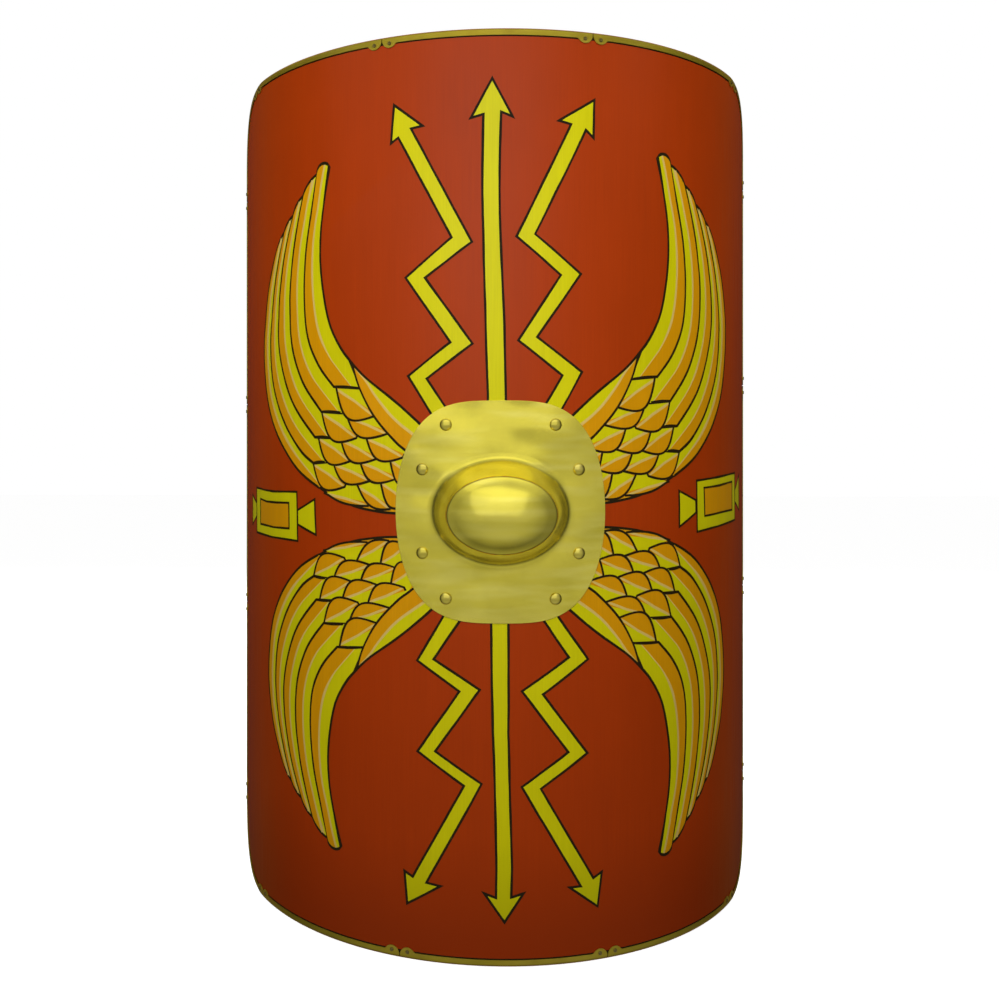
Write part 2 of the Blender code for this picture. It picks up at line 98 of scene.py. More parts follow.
# %% The rim
HALF_TOP = HALF_ARC - CORNER_RADIUS
SIDE_TOP = HEIGHT - CORNER_RADIUS
SIDE_RUN = SIDE_TOP - CORNER_RADIUS
QUARTER = CORNER_RADIUS * math.pi / 2
PERIMETER = 4 * HALF_TOP + 2 * SIDE_RUN + 4 * QUARTER


def rim_point(along, inset):
    """A flat point (s, z) at a distance along the rim, inset from it."""
    along %= PERIMETER
    half = PERIMETER / 2
    turned = along >= half
    along = along - half if turned else along
    if along <= HALF_TOP:
        s, z = along, HEIGHT - inset
    elif along <= HALF_TOP + QUARTER:
        angle = (along - HALF_TOP) / CORNER_RADIUS
        reach = CORNER_RADIUS - inset
        s, z = HALF_TOP + reach * math.sin(angle), SIDE_TOP + reach * math.cos(angle)
    elif along <= HALF_TOP + QUARTER + SIDE_RUN:
        s, z = HALF_ARC - inset, SIDE_TOP - (along - HALF_TOP - QUARTER)
    elif along <= HALF_TOP + 2 * QUARTER + SIDE_RUN:
        angle = (along - HALF_TOP - QUARTER - SIDE_RUN) / CORNER_RADIUS
        reach = CORNER_RADIUS - inset
        s, z = HALF_TOP + reach * math.cos(angle), CORNER_RADIUS - reach * math.sin(angle)
    else:
        s, z = half - along, inset
    return (-s, HEIGHT - z) if turned else (s, z)


def rim_loop(inset, step):
    """The whole rounded oblong as a closed, counter-clockwise loop."""
    count = round(PERIMETER / step)
    loop = [rim_point(PERIMETER * index / count, inset) for index in range(count)]
    loop.reverse()
    return loop


print("Rim length:", round(PERIMETER, 4), "m")

# %% [markdown]
# ## The camera
#
# The camera stands level, a little left of the middle and about one and a quarter metres in front,
# as a person would to look the shield in the boss. It stands close, so the boss looks large and the
# sides of the board fall away quickly.

# %% Camera
camera_data = bpy.data.cameras.new("front_camera")
camera_data.lens = 37.38
camera_data.sensor_width = 36.0
camera_data.shift_x = 0.0596
camera_data.shift_y = -0.0710
camera = bpy.data.objects.new("front_camera", camera_data)
camera.location = (-0.0299, -1.2467, 0.5962)
camera.rotation_euler = (math.radians(90), 0.0, math.radians(1.716))
bpy.context.scene.collection.objects.link(camera)
bpy.context.scene.camera = camera
print("Camera distance:", round(camera.location.length, 3), "m")

# %% [markdown]
# ## Nodes in few words
#
# Every finish, and the light of the room too, is a small network of nodes. These helpers keep the
# networks short: a new node takes its inputs by name, and an input is either a plain value or the
# output of a node before it. So a network reads like a sum, from its patterns down to its shader.

# %% Node helpers
FIRST_COLOUR, SECOND_COLOUR, MIXED_COLOUR = 6, 7, 2  # a Mix node's sockets for colours


def give(socket, value):
    """Sets an input to a plain value, or wires another node's output to it."""
    if isinstance(value, bpy.types.NodeSocket):
        socket.id_data.links.new(value, socket)
    else:
        socket.default_value = value


def add_node(tree, kind, values=None, **settings):
    """A new node with its settings and its inputs."""
    made = tree.nodes.new(kind)
    for name, value in settings.items():
        setattr(made, name, value)
    for name, value in (values or {}).items():
        give(made.inputs[name], value)
    return made


def worked_out(tree, operation, first, second=0.0):
    """One step of arithmetic."""
    return add_node(tree, "ShaderNodeMath", {0: first, 1: second}, operation=operation).outputs["Value"]


def between(tree, value, low, high, start=0.3, end=0.7, **settings):
    """Turns a value that runs from start to end into one that runs from low to high."""
    values = {"Value": value, "From Min": start, "From Max": end, "To Min": low, "To Max": high}
    return add_node(tree, "ShaderNodeMapRange", values, **settings).outputs["Result"]


def blend(tree, factor, *colours):
    """A mix of two colours by a factor. Either may be a plain colour or a mix before it."""
    first, second = [colour + (1.0,) if isinstance(colour, tuple) else colour for colour in colours]
    values = {"Factor": factor, FIRST_COLOUR: first, SECOND_COLOUR: second}
    return add_node(tree, "ShaderNodeMix", values, data_type="RGBA").outputs[MIXED_COLOUR]


def start_material(name, metallic, roughness, specular):
    """A new material. Returns it with its node tree and its shader."""
    material = bpy.data.materials.new(name)
    material.use_nodes = True
    shader = material.node_tree.nodes["Principled BSDF"]
    shader.inputs["Metallic"].default_value = metallic
    shader.inputs["Roughness"].default_value = roughness
    shader.inputs["Specular IOR Level"].default_value = specular
    return material, material.node_tree, shader


# %% [markdown]
# ## The studio
#
# The shield stands on a plain pale floor, before a plain white backdrop all round. Both are only
# there to be seen: they throw no light on the shield, as in a room whose walls are far away.

# %% Floor and backdrop
FLOOR_REACH = 8.0
BACKDROP_RADIUS = 16.0


def stage_piece(name, bm, grey, brightness):
    """A floor or backdrop that the camera sees and that casts no light on the shield."""
    mesh = bpy.data.meshes.new(name)
    bm.to_mesh(mesh)
    bm.free()
    material, tree, shader = start_material(name, 0.0, 0.9, 0.1)
    shader.inputs["Base Color"].default_value = (grey, grey, grey, 1.0)
    shader.inputs["Emission Color"].default_value = (1.0, 1.0, 1.0, 1.0)
    shader.inputs["Emission Strength"].default_value = brightness
    mesh.materials.append(material)
    piece = bpy.data.objects.new(name, mesh)
    bpy.context.scene.collection.objects.link(piece)
    piece.visible_diffuse = False
    piece.visible_glossy = False
    piece.visible_shadow = False
    return piece


floor_bm = bmesh.new()
bmesh.ops.create_grid(floor_bm, x_segments=1, y_segments=1, size=FLOOR_REACH)
floor = stage_piece("studio_floor", floor_bm, 0.75, 0.84)
backdrop_bm = bmesh.new()
bmesh.ops.create_uvsphere(backdrop_bm, u_segments=48, v_segments=24, radius=BACKDROP_RADIUS)
backdrop = stage_piece("studio_backdrop", backdrop_bm, 0.0, 1.0)
print("Stage:", floor.name, backdrop.name)

# %% [markdown]
# ## The light of the room
#
# The light of a room depends on the direction one looks in, so it is written as smooth ramps along
# that direction: y runs from the front to the back, z from the floor up. The room is brightest in
# front and dim to the sides, so the curve of the board shades gently away from its middle. Bright
# metal shows a room far more clearly than paint does, so some of it is there for reflections alone:
# a pale wall in front, a ceiling, and warm windows at the sides that give the brass its gold.

# %% The room's light
bpy.context.scene.view_settings.view_transform = "Standard"
world = bpy.data.worlds.new("studio_room")
world.use_nodes = True
room = world.node_tree
looking = add_node(room, "ShaderNodeTexCoord").outputs["Generated"]
direction = add_node(room, "ShaderNodeSeparateXYZ", {"Vector": looking})
WINDOW_COLOUR = (1.0, 0.62, 0.05)


def glow(axis, start, end, first, last):
    """Light that changes smoothly as a direction turns along an axis."""
    value = direction.outputs[axis]
    return between(room, value, first, last, start, end, interpolation_type="SMOOTHSTEP")


def added(first, second):
    return worked_out(room, "ADD", first, second)


def times(first, second):
    return worked_out(room, "MULTIPLY", first, second)


in_front = times(glow("Y", 0.05, -0.85, 0.0, 0.26), glow("Z", -0.60, 0.05, 0.30, 1.0))
behind = glow("Y", 0.10, 0.80, 0.02, 0.05)
overhead = glow("Z", 0.25, 0.95, 0.0, 0.16)
pale_wall = times(glow("Y", 0.25, -0.70, 0.0, 0.22), glow("Z", -0.75, -0.25, 1.7, 1.0))
windows = times(glow("Y", 0.30, 0.50, 0.0, 1.0), glow("Y", 0.78, 0.58, 0.0, 0.24))
ceiling = times(glow("Z", 0.40, 0.85, 0.0, 0.28), glow("Y", 0.30, -0.10, 0.0, 1.0))
for_all = added(added(in_front, behind), overhead)
for_mirrors = added(added(pale_wall, windows), ceiling)
mirrored = add_node(room, "ShaderNodeLightPath").outputs["Is Glossy Ray"]
warm_part = times(times(windows, mirrored), 4.0)
background = room.nodes["Background"]
give(background.inputs["Strength"], added(for_all, times(for_mirrors, mirrored)))
give(background.inputs["Color"], blend(room, warm_part, (1.0, 1.0, 1.0), WINDOW_COLOUR))
bpy.context.scene.world = world
print("World nodes:", len(room.nodes))

# %% [markdown]
# ## Soft panels
#
# Area lights do the work of a studio's soft boxes. The key stands above and in front. The sheen
# panel lights nothing: it is only mirrored, as the soft glow down the middle of the paint. A weak
# front panel and two small corner panels open the shadows, and one behind lights the back.

# %% Soft panels
def soft_panel(name, place, aim, width, height, power, spread=180, lights=True, shines=True):
    """A rectangular light that faces a point. A smaller spread keeps its light together."""
    data = bpy.data.lights.new(name, "AREA")
    data.shape = "RECTANGLE"
    data.size = width
    data.size_y = height
    data.energy = power
    data.spread = math.radians(spread)
    panel = bpy.data.objects.new(name, data)
    panel.location = place
    panel.rotation_euler = (Vector(aim) - Vector(place)).to_track_quat("-Z", "Y").to_euler()
    panel.visible_camera = False
    panel.visible_diffuse = lights
    panel.visible_glossy = shines
    bpy.context.scene.collection.objects.link(panel)


soft_panel("key_panel", (-0.12, -1.25, 1.20), (-0.03, -0.1, 0.73), 1.4, 0.9, 3.85, 90, shines=False)
soft_panel("sheen_panel", (-0.12, -1.6, 1.47), (0.0, -0.15, 0.55), 2.6, 2.2, 6.6, lights=False)
soft_panel("front_panel", (-0.4, -3.0, 1.30), (0.0, 0.0, 0.72), 2.4, 1.5, 1.8, 60, shines=False)
for side in (-1, 1):
    corner_place = (1.2 * side, -0.6, 1.55)
    corner_aim = (0.30 * side, 0.0, 0.98)
    soft_panel("corner_panel", corner_place, corner_aim, 0.5, 0.5, 0.34, 50, shines=False)
soft_panel("rear_panel", (0.0, 2.6, 1.50), (0.0, 0.0, 0.5), 1.0, 1.0, 60.0)
print("Lights:", len(bpy.data.lights))

# %% [markdown]
# ## Turning a drawing into a piece
#
# Every piece ends the same way: its mesh becomes an object at the origin, it rides on the shield,
# it takes the finishes it is given, and the CAD pieces that it stands for are hidden.

# %% Finish a piece
def finish_piece(name, bm, materials, nodes):
    """The bmesh made into an object that replaces CAD nodes."""
    mesh = bpy.data.meshes.new(name)
    bm.to_mesh(mesh)
    bm.free()
    for material in materials:
        mesh.materials.append(material)
    piece = bpy.data.objects.new(name, mesh)
    bpy.context.scene.collection.objects.link(piece)
    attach(piece, "root")
    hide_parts(*nodes)
    return piece


def smooth(bm):
    for face in bm.faces:
        face.smooth = True


# %% [markdown]
# ## Brushed paint
#
# Satin paint shows the brush: fine streaks along the stroke, wider laps where one stroke met the
# next, and a little unevenness in how much colour lies on the board. The streaks run up the shield,
# so the pattern reads a UV map that holds s and z, and is squeezed hard across and hardly along.
# Near the ground every paint is darkened, a painted shade for the weaker light low on the board.

# %% Brushed paint
STROKES = (700.0, 11.0, 1.0)
LAPS = (55.0, 5.0, 1.0)
# Heights of the painted shade near the ground: full below the first, gone above the second.
SHADE_FULL_BELOW, SHADE_ENDS_ABOVE = 0.03, 0.14


def pattern(tree, place, scale, detail, stretch=(1.0, 1.0, 1.0), distortion=0.0):
    """A noise over a place, with its scale multiplied along each axis."""
    stretched = add_node(tree, "ShaderNodeMapping", {"Vector": place, "Scale": stretch}).outputs["Vector"]
    values = {"Vector": stretched, "Scale": scale, "Detail": detail, "Roughness": 0.55}
    values["Distortion"] = distortion
    return add_node(tree, "ShaderNodeTexNoise", values).outputs["Fac"]


def bumps(tree, height, strength, distance, beneath=None):
    """Relief from a pattern, on top of the relief beneath it."""
    made = add_node(tree, "ShaderNodeBump", {"Height": height, "Strength": strength, "Distance": distance})
    if beneath is not None:
        give(made.inputs["Normal"], beneath)
    return made.outputs["Normal"]


def shaded(colour, amount):
    return tuple(channel * amount for channel in colour)


def brushed_paint(name, colour, roughness, specular):
    material, tree, shader = start_material(name, 0.0, roughness, specular)
    face = add_node(tree, "ShaderNodeUVMap", uv_map="Face").outputs["UV"]
    streaks = pattern(tree, face, 1.0, 3.0, STROKES)
    laps = pattern(tree, face, 1.0, 2.0, LAPS)
    clouds = pattern(tree, face, 9.0, 2.0)
    fine = blend(tree, between(tree, streaks, 0.0, 1.0), shaded(colour, 0.94), shaded(colour, 1.05))
    broad = blend(tree, between(tree, laps, 0.0, 0.35), fine, shaded(colour, 0.86))
    uneven = blend(tree, between(tree, clouds, 0.0, 0.30), broad, shaded(colour, 1.14))
    height = add_node(tree, "ShaderNodeSeparateXYZ", {"Vector": face}).outputs["Y"]
    # Painted shade: the paint is darkened towards the bottom of the board, where the light is weaker.
    low_shade = between(tree, height, 1.0, 0.0, SHADE_FULL_BELOW, SHADE_ENDS_ABOVE)
    give(shader.inputs["Base Color"], blend(tree, low_shade, uneven, shaded(colour, 0.78)))
    give(shader.inputs["Roughness"], between(tree, streaks, roughness - 0.05, roughness + 0.07))
    give(shader.inputs["Normal"], bumps(tree, streaks, 0.12, 0.0004))
    return material


PAINTS = [
    brushed_paint("red_paint", (0.40, 0.040, 0.001), 0.40, 0.10),
    brushed_paint("yellow_paint", (0.66, 0.61, 0.002), 0.40, 0.09),
    brushed_paint("orange_paint", (0.70, 0.310, 0.001), 0.40, 0.09),
    brushed_paint("cream_paint", (0.71, 0.50, 0.125), 0.48, 0.10),
    brushed_paint("black_paint", (0.018, 0.011, 0.002), 0.5, 0.10),
]
RED, YELLOW, ORANGE, CREAM, BLACK = range(len(PAINTS))
print("Paints:", len(PAINTS))

# %% [markdown]
# ## Brass
#
# Brass that has been handled is never one colour. Large soft clouds change its colour and its
# gloss, thin brown tarnish gathers here and there, faint streaks run across where it was rubbed
# down, and the sheet keeps slow dents from the hammer. One function makes every brass on the
# shield, from the polished boss to the dull nails, by changing how much of each it gets.
#
# The renderer's noise filter treats metal as a mirror below a roughness of about 0.27, and draws
# thin contour lines where a finish crosses it. So each brass keeps to one side of that value.

# %% Brass finishes
RUBBED_ACROSS = (14.0, 14.0, 90.0)
HAMMERED = (1.0, 1.0, 1.5)


def handled_brass(name, colour, metallic, roughness, tarnish, dents):
    material, tree, shader = start_material(name, metallic, roughness, 0.4)
    place = add_node(tree, "ShaderNodeTexCoord").outputs["Object"]
    clouds = pattern(tree, place, 15.0, 2.0)
    spots = pattern(tree, place, 30.0, 2.0)
    streaks = pattern(tree, place, 1.0, 1.0, RUBBED_ACROSS)
    hammer = pattern(tree, place, 13.0, 1.0, HAMMERED)
    grit = pattern(tree, place, 450.0, 2.0)
    cloudy = blend(tree, between(tree, clouds, 0.0, 1.0), shaded(colour, 0.80), shaded(colour, 1.10))
    bright = (min(1.0, colour[0] * 1.15), colour[1] * 1.15, colour[2] * 2.2)
    rubbed = blend(tree, between(tree, streaks, 0.0, 0.50, 0.45, 0.72), cloudy, bright)
    brown = (colour[0] * 0.50, colour[1] * 0.42, colour[2] * 0.5)
    stained = between(tree, spots, 0.0, tarnish, 0.48, 0.75)
    give(shader.inputs["Base Color"], blend(tree, stained, rubbed, brown))
    soft = between(tree, clouds, roughness - 0.06, roughness + 0.08)
    rubbing = between(tree, streaks, -0.01, 0.02)
    give(shader.inputs["Roughness"], worked_out(tree, "ADD", soft, rubbing))
    slow = bumps(tree, hammer, dents, 0.0045)
    give(shader.inputs["Normal"], bumps(tree, grit, 0.04, 0.0001, slow))
    return material


boss_brass = handled_brass("boss_brass", (0.90, 0.775, 0.090), 0.90, 0.17, 0.14, 0.9)
rivet_brass = handled_brass("rivet_brass", (0.80, 0.68, 0.100), 1.0, 0.175, 0.30, 0.1)
edging_brass = handled_brass("edging_brass", (0.44, 0.340, 0.020), 0.70, 0.36, 0.45, 0.3)
nail_brass = handled_brass("nail_brass", (0.22, 0.17, 0.04), 0.9, 0.36, 0.60, 0.1)
print("Brass:", boss_brass.name, rivet_brass.name, edging_brass.name, nail_brass.name)

# %% [markdown]
# ## Wood
#
# The back of the board is bare plywood under a thin varnish, and the grip is a bar of oiled ash.
# Grain is a noise that is long one way and short the other, with a second, finer one for the pores.
# The plywood's cut edge shows its layers, so its finish reads how deep a point lies in the board.

# %% Wood finishes
LAYER_PAIR = BOARD_THICKNESS * 0.4


def grained_wood(tree, shader, place, roughness, light, dark, grain, pores):
    """Gives a shader the gloss and relief of grain and pores. Returns their colour."""
    broad = pattern(tree, place, 1.0, 4.0, grain, 0.6)
    fine = pattern(tree, place, 1.0, 3.0, pores)
    figure = blend(tree, between(tree, broad, 0.0, 1.0, 0.35, 0.65), light, dark)
    give(shader.inputs["Roughness"], between(tree, fine, roughness - 0.06, roughness + 0.10))
    give(shader.inputs["Normal"], bumps(tree, fine, 0.25, 0.0003))
    return blend(tree, between(tree, fine, 0.0, 0.45, 0.5, 0.75), figure, shaded(dark, 0.6))


def board_back():
    """Varnished plywood, with its grain up the shield."""
    material, tree, shader = start_material("varnished_ply", 0.0, 0.42, 0.35)
    shader.inputs["Coat Weight"].default_value = 0.25
    shader.inputs["Coat Roughness"].default_value = 0.30
    face = add_node(tree, "ShaderNodeUVMap", uv_map="Face").outputs["UV"]
    figured = grained_wood(
        tree, shader, face, 0.42, (0.50, 0.30, 0.13), (0.33, 0.175, 0.065),
        grain=(34.0, 1.6, 1.0), pores=(900.0, 22.0, 1.0),
    )
    worn = between(tree, pattern(tree, face, 5.0, 3.0), 0.0, 0.35, 0.45, 0.7)
    give(shader.inputs["Base Color"], blend(tree, worn, figured, (0.26, 0.14, 0.055)))
    return material


def board_edge():
    """The cut edge of the board: pale layers and dark layers, by distance from the curve's axis."""
    material, tree, shader = start_material("ply_layers", 0.0, 0.6, 0.2)
    place = add_node(tree, "ShaderNodeTexCoord").outputs["Object"]
    values = {"Vector": place, "Location": (0.0, -CYLINDER_AXIS_Y, 0.0), "Scale": (1.0, 1.0, 0.0)}
    centred = add_node(tree, "ShaderNodeMapping", values).outputs["Vector"]
    reach = add_node(tree, "ShaderNodeVectorMath", {0: centred}, operation="LENGTH").outputs["Value"]
    turns = worked_out(tree, "MULTIPLY", reach, 2 * math.pi / LAYER_PAIR)
    stripe = between(tree, worked_out(tree, "SINE", turns), 0.0, 1.0, -0.25, 0.25)
    layered = blend(tree, stripe, (0.52, 0.34, 0.16), (0.24, 0.125, 0.05))
    fibres = pattern(tree, place, 700.0, 3.0)
    frayed = between(tree, fibres, 0.0, 0.5)
    give(shader.inputs["Base Color"], blend(tree, frayed, layered, (0.16, 0.085, 0.035)))
    give(shader.inputs["Normal"], bumps(tree, fibres, 0.35, 0.0003))
    return material


def oiled_ash():
    """The grip's wood, darker where the hand has held it."""
    material, tree, shader = start_material("oiled_ash", 0.0, 0.45, 0.35)
    place = add_node(tree, "ShaderNodeTexCoord").outputs["Object"]
    figured = grained_wood(
        tree, shader, place, 0.45, (0.40, 0.215, 0.085), (0.22, 0.105, 0.038),
        grain=(7.0, 95.0, 95.0), pores=(40.0, 800.0, 800.0),
    )
    sideways = add_node(tree, "ShaderNodeSeparateXYZ", {"Vector": place}).outputs["X"]
    held = between(tree, worked_out(tree, "ABSOLUTE", sideways), 0.55, 0.0, 0.02, 0.06)
    give(shader.inputs["Base Color"], blend(tree, held, figured, (0.13, 0.060, 0.024)))
    return material


varnished_ply = board_back()
ply_layers = board_edge()
grip_ash = oiled_ash()
print("Woods:", varnished_ply.name, ply_layers.name, grip_ash.name)

# %% [markdown]
# ## The painter's frame
#
# The emblem is painted by hand: four wings, four thunderbolts, a long double arrow and two framed
# boxes, all round the boss. The drawing is in millimetres, with u across and v up from its middle.
# It leans a little on the board, as a drawing set out by eye does, and its lines waver slightly.

# %% The brush
LEAN = math.radians(0.9)
PICTURE_MIDDLE_Z = 0.510
LINE = 2.8
LINE_WAVER = 0.22
picture = []


def painted(u, v):
    """A point of the drawing, in millimetres, as s and z on the board."""
    s = u * math.cos(LEAN) - v * math.sin(LEAN)
    z = u * math.sin(LEAN) + v * math.cos(LEAN)
    return s / 1000, PICTURE_MIDDLE_Z + z / 1000


def as_drawn(u, v):
    return u, v


def area(loop):
    return sum(a[0] * b[1] - b[0] * a[1] for a, b in zip(loop, loop[1:] + loop[:1])) / 2


def fill(paint, loop, place=as_drawn):
    """Lays one flat shape of paint over what is there already."""
    outline = [painted(*place(point[0], point[1])) for point in loop]
    if area(outline) < 0:
        outline.reverse()
    picture.append((paint, outline))


def waver(u, v, seed):
    """The small, slow error of a steady hand."""
    return noise(Vector((u * 0.03, v * 0.03, seed)))


print("The drawing leans", round(math.degrees(LEAN), 2), "degrees")

# %% [markdown]
# ## Lines as a brush draws them
#
# A painted line has a width of its own, may thin out towards its end, and wavers. So each line is
# a shape too: its path is stepped out to the left and to the right, and the two sides are joined.
# Shapes with a dark edge are laid twice, first a little larger in black and then a little smaller
# in their colour, as the painter's liner overlaps the fill.

# %% Curves and lines
def through(points, steps=7):
    """A smooth curve through a few points."""
    knots = [Vector(point) for point in points]
    line = [knots[0]]
    for index in range(len(knots) - 1):
        before = knots[max(index - 1, 0)]
        here = knots[index]
        there = knots[index + 1]
        after = knots[min(index + 2, len(knots) - 1)]
        first = here + (there - before) / 6
        second = there - (after - here) / 6
        line += interpolate_bezier(here, first, second, there, steps + 1)[1:]
    return line


def evenly(line, count):
    """The same line as evenly spaced points."""
    steps = [0.0]
    for a, b in zip(line, line[1:]):
        steps.append(steps[-1] + (b - a).length)
    points = []
    index = 0
    for number in range(count + 1):
        target = steps[-1] * number / count
        while index < len(line) - 2 and steps[index + 1] < target:
            index += 1
        span = steps[index + 1] - steps[index]
        share = (target - steps[index]) / span if span else 0.0
        points.append(line[index].lerp(line[index + 1], min(1.0, share)))
    return points


def side_step(before, here, after):
    """The way out to the left at a point of a line, longer at a sharp corner."""
    first = (here - before).normalized() if (here - before).length else (after - here).normalized()
    second = (after - here).normalized() if (after - here).length else first
    mean = first + second
    mean = mean.normalized() if mean.length > 0.01 else Vector((-first.y, first.x))
    return Vector((-mean.y, mean.x)) / max(0.3, mean.dot(first))


def brush(paint, line, width, place=as_drawn, thin_start=1.0, thin_end=1.0):
    """An open painted line, which may thin out towards its ends."""
    line = [Vector(point) for point in line]
    left = []
    right = []
    for index, point in enumerate(line):
        before = line[max(index - 1, 0)]
        after = line[min(index + 1, len(line) - 1)]
        share = index / (len(line) - 1)
        thin = min(1.0, thin_start + share * 4, thin_end + (1 - share) * 4)
        half = width / 2 * thin * (1 + LINE_WAVER * waver(point.x, point.y, 3.3))
        step = side_step(before, point, after)
        left.append(point + step * half)
        right.append(point - step * half)
    fill(paint, left + right[::-1], place)


def grown(loop, distance):
    """A closed loop moved outwards, or inwards by a negative distance, with its corners kept."""
    loop = [Vector(point) for point in loop]
    sign = -1.0 if area(loop) > 0 else 1.0
    moved = []
    for index, point in enumerate(loop):
        step = side_step(loop[index - 1], point, loop[(index + 1) % len(loop)])
        wavering = 1 + LINE_WAVER * waver(point.x, point.y, 7.1)
        moved.append(point + step * sign * distance * wavering)
    return moved


def by_hand(corners, step=9.0, error=0.35):
    """A loop of straight sides, drawn by a hand that wavers a little."""
    loop = []
    for a, b in zip(corners, corners[1:] + corners[:1]):
        a = Vector(a)
        b = Vector(b)
        count = max(1, round((b - a).length / step))
        for index in range(count):
            point = a.lerp(b, index / count)
            drift = Vector((waver(point.x, point.y, 1.7), waver(point.x, point.y, 5.9))) * error
            loop.append(point + drift)
    return loop


def bordered(paint, loop, place=as_drawn):
    """A filled shape with a dark line along its edge."""
    fill(BLACK, grown(loop, LINE / 2), place)
    fill(paint, grown(loop, -LINE / 2), place)


# %% [markdown]
# ## Arrow and thunderbolts
#
# The long arrow points up and down, and runs under the boss. Beside it four zigzag thunderbolts
# end in slanting arrowheads. No two are quite alike, so each has corners of its own.

# %% Arrow and thunderbolts
ARROW = (
    ((1, 474), (-23.5, 431), (-9.5, 434.5), (-11.5, 375), (-12, 325), (-10.5, 200), (-9, 80),
     (10.5, 80), (10.3, 200), (8.8, 250), (7, 325), (7.5, 375), (10.3, 436.5), (23, 431)),
    ((0, -460), (-22, -428), (-9, -433), (-8.2, -400), (-8.2, -310), (-9.7, -250), (-10, -200),
     (-9.5, -80), (10, -80), (8.5, -200), (7.3, -250), (8, -310), (9, -400), (7.8, -432.5),
     (21.5, -428.5)),
)
BOLTS = (
    ((117, 452.5), (75, 427), (89, 423.5), (25.3, 298.5), (74.5, 255.5), (25.3, 183.5), (74.5, 144),
     (50, 105), (68, 98), (97.5, 147.5), (46.5, 187), (97.7, 257), (46, 301), (106.5, 418),
     (115.5, 409.5)),
    ((-112, 453), (-116.5, 410.5), (-107.5, 416), (-47, 299.5), (-101, 257.3), (-50.2, 183.2),
     (-99.8, 146.8), (-71, 100), (-50, 101), (-78, 143.3), (-25.3, 180.7), (-78, 256),
     (-24.5, 293.7), (-92, 424.5), (-78.5, 426.3)),
    ((107, -451), (74, -425.8), (87, -425.8), (21.3, -310.8), (74.7, -275), (23.3, -205),
     (76.7, -169.5), (44, -120), (60, -116), (99.5, -173), (46.7, -209.3), (97.3, -278),
     (42.7, -313.8), (102, -418.5), (112.5, -413)),
    ((-110.3, -445.5), (-112.7, -409.5), (-103, -414.8), (-42.7, -309.5), (-95.3, -273.8),
     (-46.3, -205), (-93.8, -172), (-60, -117), (-40, -120), (-74.7, -170), (-23.3, -202.7),
     (-74.7, -272.5), (-22.8, -307), (-87, -420), (-71, -422.5)),
)
for corners in ARROW + BOLTS:
    bordered(YELLOW, by_hand(corners))
print("Shapes after the bolts:", len(picture))

# %% [markdown]
# ## The wings
#
# A wing is five long feathers that sweep up and outwards, four short rows of scale-like feathers at
# their roots, and one long covert along the top. A feather is yellow towards the wing's middle and
# orange beyond, with a cream quill between, and the dark line of the feather above overlaps it. So
# the wing is painted from its lowest feather to its highest, as a painter builds it up.
#
# Six curved edges, each from root to tip, draw the five long feathers.

# %% The edges of the long feathers
EDGES = (
    ((170, 168), (187, 187), (205, 220), (216, 272), (216.5, 318), (209, 362), (201, 394)),
    ((197, 143), (222, 170), (240, 205), (245.5, 250), (242, 300), (232, 345), (221, 389)),
    ((217, 115), (249, 152), (269, 197), (274, 245), (269, 290), (259, 330), (246, 368)),
    ((228, 86), (270, 131), (296, 190), (299.5, 238), (291, 285), (279, 320), (266, 348)),
    ((231, 56), (256, 72), (287, 106), (312, 153), (320, 208), (313, 258), (300, 298), (286, 331)),
    ((222, 28), (261, 49), (298, 83), (324, 122), (337, 167), (340, 210), (331, 258), (316, 292),
     (305, 312)),
)
FEATHER_STEPS = 40
edge_lines = [evenly(through(edge), FEATHER_STEPS) for edge in EDGES]
CAP_RISE = (9.0, 3.6, 3.2, 2.6, 1.8)
CAP_ROUND = (0.55, 0.9, 1.0, 1.0, 1.0)
ROOTS = ((160, 140), (187, 113), (204, 85), (212, 57), (212, 30))
QUILL_FEET = ((172, 143), (191, 115), (208, 87), (217, 60), (221, 32))


def quill_share(along):
    """How far across the feather its quill lies: in the middle, and nearer the inner edge at the tip."""
    return 0.50 - 0.25 * max(0.0, (along - 0.70) / 0.30) ** 2


def feather_point(number, across, along):
    """A point of a long feather: across from its inner edge to its outer, along from root to tip.

    Over its last sixth the feather also rises into its round cap.
    """
    index = min(int(along * FEATHER_STEPS), FEATHER_STEPS - 1)
    part = along * FEATHER_STEPS - index
    inner = edge_lines[number][index].lerp(edge_lines[number][index + 1], part)
    outer = edge_lines[number + 1][index].lerp(edge_lines[number + 1][index + 1], part)
    tip_in = edge_lines[number][-1]
    tip_out = edge_lines[number + 1][-1]
    up = Vector((tip_in.y - tip_out.y, tip_out.x - tip_in.x)).normalized()
    dome = max(0.0, 1 - (2 * across - 1) ** 2) ** CAP_ROUND[number]
    rise = CAP_RISE[number] * dome * max(0.0, along * 6 - 5)
    return inner.lerp(outer, across) + up * rise


def feather_side(number, across):
    return [feather_point(number, across, step / FEATHER_STEPS) for step in range(FEATHER_STEPS + 1)]


def feather_cap(number, first, last, along=1.0):
    return [feather_point(number, first + (last - first) * step / 10, along) for step in range(11)]


print("Feather edges:", len(edge_lines), "of", FEATHER_STEPS, "steps")

# %% [markdown]
# ## A long feather
#
# A feather is laid as the painter lays it: its dark shape, the yellow and the orange on top, and
# then the cream quill between them. The lower feathers end in a pale tip, where the quill spreads.

# %% Paint a long feather
TIP_SHARE = 0.993
TIP_START = 0.87
TIP_STEPS = 8
QUILL_WIDTHS = (3.0, 3.0, 3.0, 3.0, 4.5)


def quill_line(number, first, last, steps):
    line = []
    for step in range(steps + 1):
        along = first + (last - first) * step / steps
        line.append(feather_point(number, quill_share(along), along))
    return line


